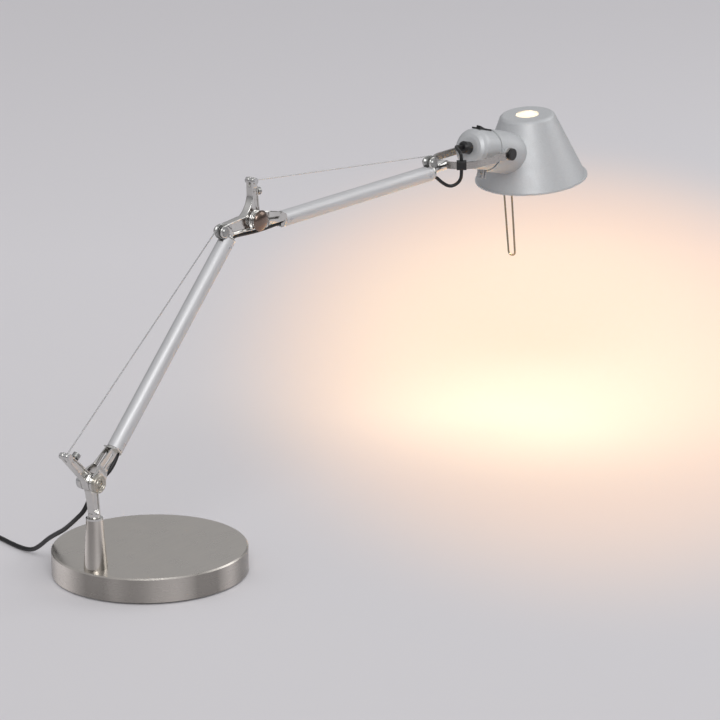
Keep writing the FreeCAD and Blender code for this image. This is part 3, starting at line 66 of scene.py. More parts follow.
def placeCamera():
    data = bpy.data.cameras.new("camera")
    data.lens = camera["lens"]
    data.sensor_width = camera["sensor"]
    data.clip_end = camera["clipEnd"]
    turn = Matrix.Rotation(-math.radians(camera["heading"]), 4, "Z")
    turn = turn @ Matrix.Rotation(math.radians(90 - camera["dip"]), 4, "X")
    turn = turn @ Matrix.Rotation(math.radians(camera["roll"]), 4, "Z")
    eye = bpy.data.objects.new("camera", data)
    eye.matrix_world = Matrix.Translation(camera["place"]) @ turn
    scene.collection.objects.link(eye)
    scene.camera = eye


placeCamera()
scene.view_settings.view_transform = "Standard"


# finishes: every colour is linear, every size is in metres
def newMaterial(name, color, roughness, metallic=0.0, **more):
    material = bpy.data.materials.new(name)
    material.use_nodes = True
    sockets = material.node_tree.nodes["Principled BSDF"].inputs
    sockets["Base Color"].default_value = (*color, 1)
    sockets["Roughness"].default_value = roughness
    sockets["Metallic"].default_value = metallic
    for socket, value in more.items():
        sockets[socket.replace("_", " ")].default_value = value
    return material


def addNode(material, kind, links=(), **settings):
    # links: (socket of the new node, output that feeds it)
    tree = material.node_tree
    node = tree.nodes.new(kind)
    for key, value in settings.items():
        if hasattr(node, key):
            setattr(node, key, value)
        else:
            node.inputs[key.replace("_", " ")].default_value = value
    for socket, output in links:
        tree.links.new(output, node.inputs[socket])
    return node


def feed(material, socket, output):
    shader = material.node_tree.nodes["Principled BSDF"]
    material.node_tree.links.new(output, shader.inputs[socket])


def noise(material, scale, stretch=(1, 1, 1), turn=(0, 0, 0), centre=(0, 0, 0), detail=3.0):
    # noise on the object's own coordinates; stretch draws it out into brush lines
    place = addNode(material, "ShaderNodeTexCoord")
    shift = addNode(material, "ShaderNodeMapping", [("Vector", place.outputs["Object"])])
    shift.vector_type = "TEXTURE"
    shift.inputs["Location"].default_value = centre
    shift.inputs["Rotation"].default_value = turn
    drawn = addNode(material, "ShaderNodeMapping", [("Vector", shift.outputs["Vector"])])
    drawn.inputs["Scale"].default_value = stretch
    field = addNode(material, "ShaderNodeTexNoise", [("Vector", drawn.outputs["Vector"])])
    field.inputs["Scale"].default_value = scale
    field.inputs["Detail"].default_value = detail
    return field.outputs["Fac"]


def vary(material, socket, field, low, high, start=0.3, end=0.7):
    # a number that follows the field between two values
    span = addNode(material, "ShaderNodeMapRange", [("Value", field)])
    for key, value in (("From Min", start), ("From Max", end), ("To Min", low), ("To Max", high)):
        span.inputs[key].default_value = value
    feed(material, socket, span.outputs["Result"])


def tint(material, field, dark, light, start=0.3, end=0.7):
    ramp = addNode(material, "ShaderNodeValToRGB", [("Fac", field)])
    ramp.color_ramp.elements[0].position = start
    ramp.color_ramp.elements[0].color = (*dark, 1)
    ramp.color_ramp.elements[1].position = end
    ramp.color_ramp.elements[1].color = (*light, 1)
    feed(material, "Base Color", ramp.outputs["Color"])


def addBump(material, field, strength, depth):
    bump = addNode(material, "ShaderNodeBump", [("Height", field)])
    bump.inputs["Strength"].default_value = strength
    bump.inputs["Distance"].default_value = depth
    feed(material, "Normal", bump.outputs["Normal"])


def shaded(color, factor):
    return tuple(channel * factor for channel in color)


def brushedMetal(name, color, roughness, stretch, turn=(0, 0, 0), lineScale=420, spread=0.12,
                 metallic=1.0):
    # fine brush lines over slow cloudy changes of tone
    material = newMaterial(name, color, roughness, metallic)
    lines = noise(material, lineScale, stretch, turn, detail=2)
    clouds = noise(material, 18, turn=turn, detail=2)
    both = addNode(material, "ShaderNodeMix", [("A", lines), ("B", clouds)])
    both.inputs["Factor"].default_value = 0.35
    tint(material, both.outputs["Result"], shaded(color, 1 - spread), shaded(color, 1 + spread / 2))
    vary(material, "Roughness", both.outputs["Result"], roughness * 0.8, roughness * 1.25)
    addBump(material, lines, 0.35, 0.00001)
    return material


def turnedPlate(name, color, roughness, centre, reflectionBandScale, reflectionSwing):
    # brush lines across the flat top, fine rings, and broad soft bands of painted reflection round the side wall
    material = newMaterial(name, color, roughness, 1.0)
    top = noise(material, 1500, (0.02, 1, 1), centre=centre, detail=2)
    rings = noise(material, 1100, (0.05, 0.05, 1), centre=centre, detail=2)
    # painted reflection: broad soft lighter and darker bands round the side wall, in place of what the polished
    # side would reflect
    paintedReflectionField = noise(material, reflectionBandScale, (1, 1, 0.02), centre=centre, detail=0.6)
    facing = addNode(material, "ShaderNodeNewGeometry")
    upward = addNode(material, "ShaderNodeSeparateXYZ", [("Vector", facing.outputs["Normal"])])
    flat = addNode(material, "ShaderNodeMapRange", [("Value", upward.outputs["Z"])])
    flat.inputs["From Min"].default_value = 0.6
    flat.inputs["From Max"].default_value = 0.9
    topColor = addNode(material, "ShaderNodeValToRGB", [("Fac", top)])
    paintedReflectionColor = addNode(material, "ShaderNodeValToRGB", [("Fac", paintedReflectionField)])
    for ramp, low, high, start in ((topColor, 0.95, 1.03, 0.3), (paintedReflectionColor, 1 - reflectionSwing, 1 + reflectionSwing * 0.75, 0.38)):
        ramp.color_ramp.elements[0].position = start
        ramp.color_ramp.elements[0].color = (*shaded(color, low), 1)
        ramp.color_ramp.elements[1].position = 1 - start
        ramp.color_ramp.elements[1].color = (*shaded(color, high), 1)
    mixed = addNode(material, "ShaderNodeMix", data_type="RGBA")
    links = material.node_tree.links
    links.new(flat.outputs["Result"], mixed.inputs["Factor"])
    links.new(paintedReflectionColor.outputs["Color"], mixed.inputs[6])
    links.new(topColor.outputs["Color"], mixed.inputs[7])
    feed(material, "Base Color", mixed.outputs[2])
    vary(material, "Roughness", rings, roughness * 0.85, roughness * 1.2)
    grain = addNode(material, "ShaderNodeMix")
    links.new(flat.outputs["Result"], grain.inputs["Factor"])
    links.new(rings, grain.inputs["A"])
    links.new(top, grain.inputs["B"])
    addBump(material, grain.outputs["Result"], 0.12, 0.00001)
    return material


def castMetal(name, color, roughness):
    # polished plating over a casting that was never quite flat
    material = newMaterial(name, color, roughness, 1.0)
    swells = noise(material, 130, detail=1)
    haze = noise(material, 900, (1, 1, 3), detail=4)
    tint(material, swells, shaded(color, 0.93), color)
    vary(material, "Roughness", haze, roughness * 0.7, roughness * 1.5)
    addBump(material, swells, 0.15, 0.0001)
    return material


def mouldedPlastic(name, color, roughness, grain=1600, depth=0.00002):
    material = newMaterial(name, color, roughness)
    field = noise(material, grain, detail=2)
    clouds = noise(material, 90, detail=2)
    tint(material, clouds, shaded(color, 0.85), shaded(color, 1.2))
    vary(material, "Roughness", field, roughness * 0.85, roughness * 1.2)
    addBump(material, field, 0.3, depth)
    return material


# the colours of this lamp's finishes
tones = {
    "nickel": (0.635, 0.60, 0.555),
    "shadeSilver": (0.56, 0.57, 0.58),
    "tubeSilver": (0.62, 0.62, 0.63),
    "strap": (0.46, 0.44, 0.42),
    "wheelMetal": (0.40, 0.40, 0.39),
    "loopSteel": (0.36, 0.30, 0.22),
    "plating": (0.66, 0.65, 0.63),
    "zinc": (0.60, 0.60, 0.60),
    "knobNickel": (0.24, 0.18, 0.15),
    "knobPale": (0.50, 0.475, 0.42),
    "black": (0.009, 0.009, 0.010),
    "sheath": (0.006, 0.006, 0.007),
    "rubber": (0.018, 0.018, 0.018),
    "brass": (0.72, 0.55, 0.27),
    "ceramic": (0.72, 0.70, 0.66),
    "iron": (0.18, 0.18, 0.19),
    "bulb": (1.0, 0.86, 0.62),
}

lowerTilt = math.atan2(pivots["lower_pulley_turn"].z - pivots["lower_arm_pivot"].z,
                       pivots["lower_pulley_turn"].x - pivots["lower_arm_pivot"].x)

finishes = {
    # base and stem cone: the last two numbers set the scale and strength of the painted reflection bands round
    # the side wall
    "baseNickel": turnedPlate("brushed nickel plate", tones["nickel"], 0.30, (0, 0, 0), 20, 0.48),
    "coneNickel": turnedPlate("turned nickel", tones["nickel"], 0.2, (pivots["base_swivel"].x, 0, 0), 110, 0.42),
    "lowerTube": brushedMetal("anodised lower tube", tones["tubeSilver"], 0.5, (0.04, 1, 1), lineScale=900,
                              turn=(0, -lowerTilt, 0), spread=0.05, metallic=0.55),
    "upperTube": brushedMetal("anodised upper tube", tones["tubeSilver"], 0.5, (0.04, 1, 1), lineScale=900,
                              spread=0.05, metallic=0.55),
    "plating": castMetal("polished nickel plating", tones["plating"], 0.16),
    "satinPlating": castMetal("satin nickel plating", tones["strap"], 0.24),
    "wheelMetal": castMetal("dull nickel wheels", tones["wheelMetal"], 0.3),
    "loopSteel": castMetal("bronzed handle wire", tones["loopSteel"], 0.25),
    "zinc": castMetal("bright zinc", tones["zinc"], 0.2),
    "knobNickel": castMetal("dark nickel knob", tones["knobNickel"], 0.2),
    "knobPale": castMetal("pale nickel knob", tones["knobPale"], 0.33),
    "washer": brushedMetal("ground steel washer", tones["zinc"], 0.3, (1, 0.04, 1)),
    "black": mouldedPlastic("black moulding", tones["black"], 0.33),
    "gripBlack": mouldedPlastic("black nylon", tones["black"], 0.45, 900, 0.00004),
    "sheath": mouldedPlastic("black flex sheath", tones["sheath"], 0.42, 1200, 0.00003),
    "rubber": mouldedPlastic("black rubber", tones["rubber"], 0.75, 700, 0.00006),
    "ceramic": mouldedPlastic("pale lampholder moulding", tones["ceramic"], 0.4, 800, 0.00003),
    "brass": castMetal("brass", tones["brass"], 0.22),
    "iron": mouldedPlastic("cast iron", tones["iron"], 0.7, 500, 0.0002),
}


def shadeSilver():
    # silver lacquer over spun aluminium: fine flake, faint turning rings, soft orange peel
    material = newMaterial("silver lacquer", tones["shadeSilver"], 0.5, 0.45, Coat_Weight=0.1, Coat_Roughness=0.4)
    flake = noise(material, 2600, detail=1)
    peel = noise(material, 160, detail=2)
    tint(material, flake, shaded(tones["shadeSilver"], 0.9), shaded(tones["shadeSilver"], 1.1), 0.35, 0.65)
    vary(material, "Roughness", peel, 0.46, 0.55)
    addBump(material, peel, 0.2, 0.00006)
    return material


def litGlass():
    # opal globe with the lamp switched on, warmer towards its edge
    material = newMaterial("lit opal glass", tones["bulb"], 0.3)
    edge = addNode(material, "ShaderNodeLayerWeight")
    edge.inputs["Blend"].default_value = 0.35
    ramp = addNode(material, "ShaderNodeValToRGB", [("Fac", edge.outputs["Facing"])])
    ramp.color_ramp.elements[0].color = (1.0, 0.88, 0.66, 1)
    ramp.color_ramp.elements[1].color = (1.0, 0.66, 0.34, 1)
    feed(material, "Emission Color", ramp.outputs["Color"])
    material.node_tree.nodes["Principled BSDF"].inputs["Emission Strength"].default_value = 7.0
    return material


finishes["shadeSilver"] = shadeSilver()
finishes["bulb"] = litGlass()

nodeFinish = {
    "baseNickel": ["base_cover"],
    "coneNickel": ["stem_socket"],
    "rubber": ["base_pad", "cord_grommet"],
    "iron": ["base_weight"],
    "plating": ["lower_bracket", "elbow_bracket", "arm_end_link", "lower_fork", "upper_fork", "swivel_bush"],
    "satinPlating": ["head_fork", "lower_pivot_knob"],
    "knobNickel": ["upper_pivot_knob"],
    "lowerTube": ["lower_tube"],
    "upperTube": ["upper_tube"],
    "zinc": ["socket_bolt", "lower_grub_screws", "upper_grub_screws", "lower_spring", "upper_spring",
             "lower_wire", "upper_wire", "lower_wire_tail", "upper_wire_tail", "pivot_bolts", "fork_screw",
             "clamp_screw", "pivot_nuts"],
    "loopSteel": ["handle_loop"],
    "wheelMetal": ["lower_pulley", "upper_pulley", "lower_pulley_pin", "upper_pulley_pin", "lower_tension_wheel",
                   "upper_tension_wheel"],
    "washer": ["friction_washers"],
    "shadeSilver": ["shade", "shade_collar", "lampholder_housing"],
    "black": ["switch_frame", "switch_rocker", "pivot_screws", "handle_clip", "plug_body", "cable_gland"],
    "gripBlack": ["cable_clip"],
    "sheath": ["mains_cord", "cord_coil", "joint_cord", "lower_flex", "upper_flex", "elbow_flex",
               "head_flex_loop", "head_flex_link"],
    "ceramic": ["lampholder"],
    "brass": ["lampholder_contact", "bulb_cap", "plug_pins"],
    "bulb": ["bulb_glass"],
}


def dress(piece, finish):
    piece.data.materials.clear()
    piece.data.materials.append(finishes[finish])


for finish, names in nodeFinish.items():
    for name in names:
        dress(nodes[name], finish)
print("finishes:", len(finishes))


def addPiece(name, mesh, finish, crease=35):
    mesh.shade_smooth()
    mesh.set_sharp_from_angle(angle=math.radians(crease))
    piece = bpy.data.objects.new(name, mesh)
    mesh.materials.clear()
    mesh.materials.append(finishes[finish])
    scene.collection.objects.link(piece)
    return piece


def standFor(piece, *names):
    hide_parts(*names)


def meshFrom(name, shape):
    bmesh.ops.remove_doubles(shape, verts=shape.verts, dist=1e-6)
    bmesh.ops.recalc_face_normals(shape, faces=shape.faces)
    mesh = bpy.data.meshes.new(name)
    shape.to_mesh(mesh)
    shape.free()
    return mesh


def turned(name, profile, place, outward, finish):
    # profile: (height along the axis, radius) in millimetres, from the axis and back to it
    shape = bmesh.new()
    corners = [shape.verts.new((radius / 1000, 0, height / 1000)) for height, radius in profile]
    edges = [shape.edges.new(pair) for pair in zip(corners, corners[1:])]
    bmesh.ops.spin(shape, geom=corners + edges, cent=(0, 0, 0), axis=(0, 0, 1), angle=2 * math.pi,
                   steps=96, use_merge=True)
    facing = Vector(outward).to_track_quat("Z", "Y").to_matrix().to_4x4()
    bmesh.ops.transform(shape, matrix=Matrix.Translation(place) @ facing, verts=shape.verts)
    return addPiece(name, meshFrom(name, shape), finish)


# each arm's own frame: along the arm from its pivot, and up from it
arms = {
    "lower": {"pivot": pivots["lower_arm_pivot"], "rise": 44.70},
    "upper": {"pivot": pivots["elbow_pivot"], "rise": -0.50},
}


def onArm(arm, along, up, aside=0.0):
    rise = math.radians(arms[arm]["rise"])
    forward = Vector((math.cos(rise), 0, math.sin(rise)))
    upward = Vector((-math.sin(rise), 0, math.cos(rise)))
    return arms[arm]["pivot"] + forward * along + upward * up + Vector((0, aside, 0))


# castings: the sand-cast look of soft edges and flowing inside corners
castings = {
    "lower_bracket": {"body": "bracket", "voxel": 0.0006, "rounds": 7},
    "elbow_bracket": {"body": "lower_arm", "voxel": 0.0006, "rounds": 7},
    "arm_end_link": {"body": "upper_arm", "voxel": 0.0006, "rounds": 4},
}


def copyShape(node):
    # a welded copy of the node's own shape
    shape = bmesh.new()
    shape.from_mesh(nodes[node].data)
    bmesh.ops.remove_doubles(shape, verts=shape.verts, dist=1e-6)
    return shape


def softenCasting(node, settings):
    mesh = bpy.data.meshes.new(node + "_rough")
    merged = copyShape(node)
    merged.to_mesh(mesh)
    merged.free()
    rough = bpy.data.objects.new(node + "_rough", mesh)
    scene.collection.objects.link(rough)
    skin = rough.modifiers.new("skin", "REMESH")
    skin.mode = "VOXEL"
    skin.voxel_size = settings["voxel"]
    rub = rough.modifiers.new("rub down", "SMOOTH")
    rub.factor = 0.5
    rub.iterations = settings["rounds"]
    bpy.context.view_layer.update()
    finished = bpy.data.meshes.new_from_object(rough.evaluated_get(bpy.context.evaluated_depsgraph_get()))
    bpy.data.objects.remove(rough)
    piece = addPiece(node + "_casting", finished, "plating", 80)
    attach(piece, settings["body"])
    standFor(piece, node)
    print("casting:", node, len(finished.polygons), "faces")


for node, settings in castings.items():
    softenCasting(node, settings)

# forks: past the pivot bosses the two cheeks draw in towards the middle, and spread again at the tube
forks = {"drawIn": (0.0085, 0.0175), "spreadOut": (0.0338, 0.0352), "waist": 0.56}


def slimFork(node, arm, body):
    shape = copyShape(node)
    pivot = arms[arm]["pivot"]
    forward = (onArm(arm, 1, 0) - pivot).normalized()
    first, last = forks["drawIn"]
    cuts = [first + (last - first) * count / 8 for count in range(9)] + list(forks["spreadOut"])
    for cut in cuts:
        bmesh.ops.bisect_plane(shape, geom=shape.verts[:] + shape.edges[:] + shape.faces[:], dist=1e-6,
                               plane_co=pivot + forward * cut, plane_no=forward)
    spreadStart, spreadEnd = forks["spreadOut"]
    for vert in shape.verts:
        along = (vert.co - pivot).dot(forward)
        share = min(1, max(0, (along - first) / (last - first)))
        drawn = share * share * (3 - 2 * share)
        drawn *= 1 - min(1, max(0, (along - spreadStart) / (spreadEnd - spreadStart)))
        vert.co.y *= 1 - drawn * (1 - forks["waist"])
    mesh = bpy.data.meshes.new(node + "_slim")
    shape.to_mesh(mesh)
    shape.free()
    piece = addPiece(node + "_slim", mesh, "plating", 40)
    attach(piece, body)
    standFor(piece, node)


slimFork("lower_fork", "lower", "lower_arm")
slimFork("upper_fork", "upper", "upper_arm")

# pivot knobs: a ringed cap with a screw in its middle, and a darker domed one
lowerKnob = {
    "profile": [(0, 0), (0, 7.6), (0.3, 7.9), (2.5, 7.9), (3.2, 7.8), (3.7, 7.3), (3.8, 6.7), (3.6, 6.2),
                (3.15, 5.9), (3.0, 5.2), (3.05, 4.4), (3.4, 4.0), (3.75, 3.8), (3.8, 3.4), (3.5, 3.1),
                (2.7, 2.95), (2.6, 2.5), (3.2, 2.3), (3.65, 1.6), (3.85, 0)],
}
upperKnob = {
    "profile": [(0, 0), (0, 8.9), (0.3, 9.3), (0.8, 9.4), (1.2, 9.2), (1.3, 8.7), (1.35, 8.5), (1.8, 8.2),
                (2.3, 7.6), (2.8, 6.7), (3.2, 5.6), (3.55, 4.4), (3.8, 3.1), (3.95, 1.6), (4.0, 0)],
}


def makeKnob(name, node, joint, settings, finish):
    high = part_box(node)[1]
    middle = Vector((pivots[joint].x, high[1], pivots[joint].z))
    knob = turned(name, settings["profile"], middle, (0, -1, 0), finish)
    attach(knob, "lower_arm")
    standFor(knob, node)


makeKnob("lower_knob_cap", "lower_pivot_knob", "lower_arm_pivot", lowerKnob, "knobPale")
makeKnob("upper_knob_cap", "upper_pivot_knob", "elbow_pivot", upperKnob, "knobNickel")


# cords: a smooth line through the route, and a round tube on it
def makeCord(name, route, diameter):
    curve = bpy.data.curves.new(name, "CURVE")
    curve.dimensions = "3D"
    curve.resolution_u = 8
    spline = curve.splines.new("NURBS")
    spline.points.add(len(route) - 1)
    for knot, place in zip(spline.points, route):
        knot.co = (*place, 1)
    spline.order_u = 3
    spline.use_endpoint_u = True
    holder = bpy.data.objects.new(name + "_line", curve)
    line = bpy.data.meshes.new_from_object(holder)
    path = [vertex.co.copy() for vertex in line.vertices]
    curve.bevel_depth = diameter / 2
    curve.bevel_resolution = 3
    curve.use_fill_caps = True
    tube = bpy.data.meshes.new_from_object(holder)
    bpy.data.objects.remove(holder)
    piece = addPiece(name, tube, "sheath", 60)
    print("cord:", name, round(sum((b - a).length for a, b in zip(path, path[1:])), 4), "m")
    return piece, path


mainsCord = {
    "diameter": 0.004,
    "join": (-0.065, 0.0095, 0.081),
    "down": [(-0.0684, 0.0114, 0.072), (-0.067, 0.022, 0.0625), (-0.060, 0.0365, 0.052), (-0.053, 0.051, 0.042),
             (-0.0465, 0.066, 0.0335), (-0.040, 0.082, 0.024), (-0.034, 0.0975, 0.0125), (-0.029, 0.112, 0.004)],
    "table": [(-0.0265, 0.127, 0.0022), (-0.0225, 0.144, 0.0022), (-0.0175, 0.161, 0.0022),
              (-0.0145, 0.178, 0.0022), (-0.015, 0.194, 0.0022), (-0.019, 0.2095, 0.0022)],
    "length": 1.75,
}
coil = {
    "middle": (-0.050, 0.232),
    "startAngle": -20,
    "pointsPerTurn": 16,
    # each turn: height and radius, in millimetres
    "turns": [(2.2, 29), (2.2, 25), (2.2, 21), (2.2, 17), (5.7, 19), (5.7, 23), (5.7, 27), (9.6, 24),
              (9.6, 20), (13.1, 22)],
    "leaving": [(13.4, 22.5), (13.7, 24), (13.4, 25.7), (12.4, 27.2), (11.0, 28.2), (10.0, 28.0)],
    # the straight end: distance towards the plug in metres, and height in millimetres
    "towardsPlug": (-0.9063, -0.4226),
    "straight": [(0.0065, 8.4), (0.0105, 7.3), (0.0145, 7.2), (0.018, 7.2)],
}


def coilPoint(angle, height, radius):
    spread = radius / math.cos(math.pi / coil["pointsPerTurn"]) / 1000
    turn = math.radians(angle)
    return Vector((coil["middle"][0] + spread * math.cos(turn), coil["middle"][1] + spread * math.sin(turn),
                   height / 1000))


def windCoil():
    points = []
    step = 360 / coil["pointsPerTurn"]
    change = coil["pointsPerTurn"] // 4
    angle = coil["startAngle"]
    turns = coil["turns"]
    for index, (height, radius) in enumerate(turns):
        nextHeight, nextRadius = turns[index + 1] if index + 1 < len(turns) else (height, radius)
        for count in range(coil["pointsPerTurn"]):
            share = max(0, count - coil["pointsPerTurn"] + change) / change
            points.append(coilPoint(angle, height + (nextHeight - height) * share,
                                    radius + (nextRadius - radius) * share))
            angle += step
    for height, radius in coil["leaving"]:
        points.append(coilPoint(angle, height, radius))
        angle += step
    away = Vector((*coil["towardsPlug"], 0))
    last = points[-1]
    for distance, height in coil["straight"]:
        place = last + away * distance
        points.append(Vector((place.x, place.y, height / 1000)))
    return points


mainsRoute = [Vector(mainsCord["join"])]
mainsRoute += [Vector(place) for place in mainsCord["down"] + mainsCord["table"]]
mainsRoute += windCoil()
mainsPiece, mainsPath = makeCord("mains_lead", mainsRoute, mainsCord["diameter"])
standFor(mainsPiece, "mains_cord", "cord_coil")
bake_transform(mainsPiece)

innerCords = {
    "joint": {"diameter": 0.004, "length": 0.05},
    "elbow": {"diameter": 0.0032, "length": 0.072},
    "loop": {"diameter": 0.0032, "length": 0.052},
    "link": {"diameter": 0.0032, "length": 0.044},
}


def heldCord(name, node, key, route):
    settings = innerCords[key]
    piece, path = makeCord(name, route, settings["diameter"])
    standFor(piece, node)
    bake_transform(piece)


jointRoute = [onArm("lower", 0.039, -0.0106, -0.001), onArm("lower", 0.031, -0.0116, -0.0024),
              onArm("lower", 0.019, -0.0120, -0.0024), onArm("lower", 0.0105, -0.0122, 0.002),
              Vector((-0.0616, 0.0076, 0.090)), Vector(mainsCord["join"])]
heldCord("joint_lead", "joint_cord", "joint", jointRoute)

flexOut = onArm("lower", 0.2535, -0.0104)
elbowRoute = [flexOut, flexOut + Vector((0.005, 0, 0.002)), Vector((0.12908, 0, 0.27293)),
              Vector((0.14008, 0, 0.27213)), Vector((0.15208, 0, 0.27153)), onArm("upper", 0.017, -0.011),
              onArm("upper", 0.029, -0.0104), onArm("upper", 0.039, -0.0104)]
heldCord("elbow_lead", "elbow_flex", "elbow", elbowRoute)

clipMiddle = Vector((0.42461, -0.01766, 0.27846))
clipHalf = Vector((0, 0, 0.00745))
loopOut = onArm("upper", 0.2535, -0.0104)
loopRoute = [loopOut, loopOut + Vector((0.0064, -0.0004, -0.0009)),
             loopOut + Vector((0.0129, -0.0028, -0.0076)), loopOut + Vector((0.0189, -0.0065, -0.0123)),
             clipMiddle - clipHalf + Vector((-0.0016, 0.0066, -0.0123)),
             clipMiddle - clipHalf + Vector((0.002, 0.0026, -0.0074)), clipMiddle - clipHalf, clipMiddle]
heldCord("head_loop_lead", "head_flex_loop", "loop", loopRoute)

gland = Vector((0.44968, 0, 0.2881))
linkRoute = [gland, gland + Vector((-0.9646, 0, 0.2639)) * 0.007 + Vector((0, -0.0003, 0.0002)),
             gland + Vector((-0.0145, -0.003, 0.0038)), gland + Vector((-0.0205, -0.0093, 0.0034)),
             clipMiddle + clipHalf + Vector((0.0002, 0.0016, 0.0046)), clipMiddle + clipHalf, clipMiddle]
heldCord("head_link_lead", "head_flex_link", "link", linkRoute)

# wires: a barrel at the lever's end, and one straight strand from it to the pulley end
wires = {
    "bodies": {"lower": ("bracket", "lower_arm"), "upper": ("lower_arm", "upper_arm")},
    # how far the strand runs on past the end of the node's own wire
    "onward": 0.0025,
}


def makeWire(name):
    node = name + "_wire"
    tip = pivots[node + "_swing"]
    whole = copyShape(node)
    corners = [corner.co.copy() for corner in whole.verts]
    whole.free()
    half = max((corner - tip).length for corner in corners) / 2
    far = [corner for corner in corners if (corner - tip).length > half]
    near = [corner - tip for corner in corners if (corner - tip).length <= half]
    end = sum(far, Vector()) / len(far)
    along = (end - tip).normalized()
    radius = max((corner - end - along * (corner - end).dot(along)).length for corner in far)
    barrelRadius = max(math.hypot(corner.x, corner.z) for corner in near)
    barrel = bmesh.new()
    bmesh.ops.create_cone(barrel, cap_ends=True, segments=32, radius1=barrelRadius, radius2=barrelRadius,
                          depth=2 * max(abs(corner.y) for corner in near),
                          matrix=Matrix.Translation(tip) @ Matrix.Rotation(math.radians(90), 4, "X"))
    barrelPiece = addPiece(node + "_barrel", meshFrom(node + "_barrel", barrel), "zinc")
    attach(barrelPiece, node + "_line")
    standFor(barrelPiece, node)
    end += along * wires["onward"]
    strand = bmesh.new()
    stand = Matrix.Translation((tip + end) / 2) @ along.to_track_quat("Z", "Y").to_matrix().to_4x4()
    bmesh.ops.create_cone(strand, cap_ends=True, segments=16, radius1=radius, radius2=radius,
                          depth=(end - tip).length, matrix=stand)
    piece = addPiece(node + "_strand", meshFrom(node + "_strand", strand), "zinc")
    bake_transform(piece)
    print("wire:", node, round((end - tip).length, 4), "m, radius", round(radius, 5))


for name, bodies in wires["bodies"].items():
    makeWire(name)

# a band that holds the coil
tie = {"angle": 60, "radius": 0.0235, "half": (0.0082, 0.0078), "width": 0.006, "thickness": 0.0007,
       "height": 0.0081}


def makeTie():
    shape = bmesh.new()
    bmesh.ops.create_circle(shape, segments=40, radius=1)
    bmesh.ops.scale(shape, vec=(*tie["half"], 1), verts=shape.verts)
    grown = bmesh.ops.extrude_edge_only(shape, edges=shape.edges)
    rim = [item for item in grown["geom"] if isinstance(item, bmesh.types.BMVert)]
    bmesh.ops.translate(shape, vec=(0, 0, tie["width"]), verts=rim)
    bmesh.ops.recalc_face_normals(shape, faces=shape.faces)
    bmesh.ops.solidify(shape, geom=shape.faces, thickness=tie["thickness"])
    turn = math.radians(tie["angle"])
    place = Vector((coil["middle"][0] + tie["radius"] * math.cos(turn),
                    coil["middle"][1] + tie["radius"] * math.sin(turn), tie["height"]))
    stand = Matrix.Rotation(turn, 4, "Z") @ Matrix.Rotation(math.radians(90), 4, "X")
    bmesh.ops.transform(shape, matrix=Matrix.Translation(place) @ stand, verts=shape.verts)
    band = addPiece("coil_tie", meshFrom("coil_tie", shape), "rubber")
    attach(band, "base")


makeTie()
print("pieces made")

# studio: a pale floor, one large soft lamp high on the left, a softer one on the right, uneven light around
studio = {
    "world": {"low": (0.02, (0.34, 0.34, 0.35)), "high": (0.5, (1.0, 1.0, 1.02)), "strips": 3.0, "phase": 0.6,
              "depth": 0.28, "level": 0.80, "fade": 0.6},
    "floorSize": 16, "floorColor": (0.60, 0.585, 0.605), "floorLift": 0.09, "sky": 0.62,
    # painted shade: how much darker the floor is coloured in front and how much lighter behind
    "paintedFalloffNear": 0.84, "paintedFalloffFar": 1.11, "floorSpan": (-0.45, 1.05),
    "key": {"place": (-1.6, -1.5, 2.2), "size": 1.6, "power": 42},
    "fill": {"place": (2.0, -1.2, 1.5), "size": 1.6, "power": 12},
    "aim": (0.25, 0, 0.15),
    "glow": {"power": 1.1, "color": (1.0, 0.78, 0.5), "reach": (0.06, 0.05), "under": (-0.0015, 0, 0.021),
             "spread": 130, "softness": 0.012},
    "pool": {"place": (0.79, 0.11, 3.0), "power": 222, "color": (1.0, 0.42, 0.0), "spread": 33, "narrow": 0.44,
             "blend": 0.85, "softness": 0.05},
    "core": {"place": (0.79, 0.14, 3.0), "power": 60, "color": (0.6, 1.0, 0.6), "spread": 21, "narrow": 0.48,
             "blend": 1.0, "softness": 0.05},
}


def placeFloor():
    mesh = bpy.data.meshes.new("floor")
    sheet = bmesh.new()
    bmesh.ops.create_grid(sheet, x_segments=1, y_segments=1, size=studio["floorSize"] / 2)
    sheet.to_mesh(mesh)
    floor = bpy.data.objects.new("floor", mesh)
    material = newMaterial("floor paper", studio["floorColor"], 0.9)
    # painted shade: the floor colour runs a little darker in front than behind, along the camera's heading
    heading = math.radians(camera["heading"])
    place = addNode(material, "ShaderNodeTexCoord")
    depth = addNode(material, "ShaderNodeVectorMath", [(0, place.outputs["Object"])], operation="DOT_PRODUCT")
    depth.inputs[1].default_value = (math.sin(heading), math.cos(heading), 0)
    span = addNode(material, "ShaderNodeMapRange", [("Value", depth.outputs["Value"])])
    span.inputs["From Min"].default_value, span.inputs["From Max"].default_value = studio["floorSpan"]
    near, far = (shaded(studio["floorColor"], studio[side]) for side in ("paintedFalloffNear", "paintedFalloffFar"))
    tint(material, span.outputs["Result"], near, far, 0.0, 1.0)
    vary(material, "Roughness", noise(material, 3), 0.86, 0.94)
    # a little light of its own, only where the camera or a reflection looks at it
    rays = addNode(material, "ShaderNodeLightPath")
    looks = [(0, rays.outputs["Is Camera Ray"]), (1, rays.outputs["Is Glossy Ray"])]
    seen = addNode(material, "ShaderNodeMath", looks, operation="MAXIMUM")
    lift = addNode(material, "ShaderNodeMath", [(0, seen.outputs[0])], operation="MULTIPLY")
    lift.inputs[1].default_value = studio["floorLift"]
    feed(material, "Emission Strength", lift.outputs[0])
    material.node_tree.nodes["Principled BSDF"].inputs["Emission Color"].default_value = (1, 0.98, 1, 1)
    mesh.materials.append(material)
    scene.collection.objects.link(floor)


def placeLamp(name, kind, place, aim, power, color=(1, 1, 1)):
    data = bpy.data.lights.new(name, kind)
    data.energy = power
    data.color = color
    lamp = bpy.data.objects.new(name, data)
    facing = (Vector(aim) - Vector(place)).to_track_quat("-Z", "Y").to_matrix().to_4x4()
    lamp.matrix_world = Matrix.Translation(place) @ facing
    scene.collection.objects.link(lamp)
    return data


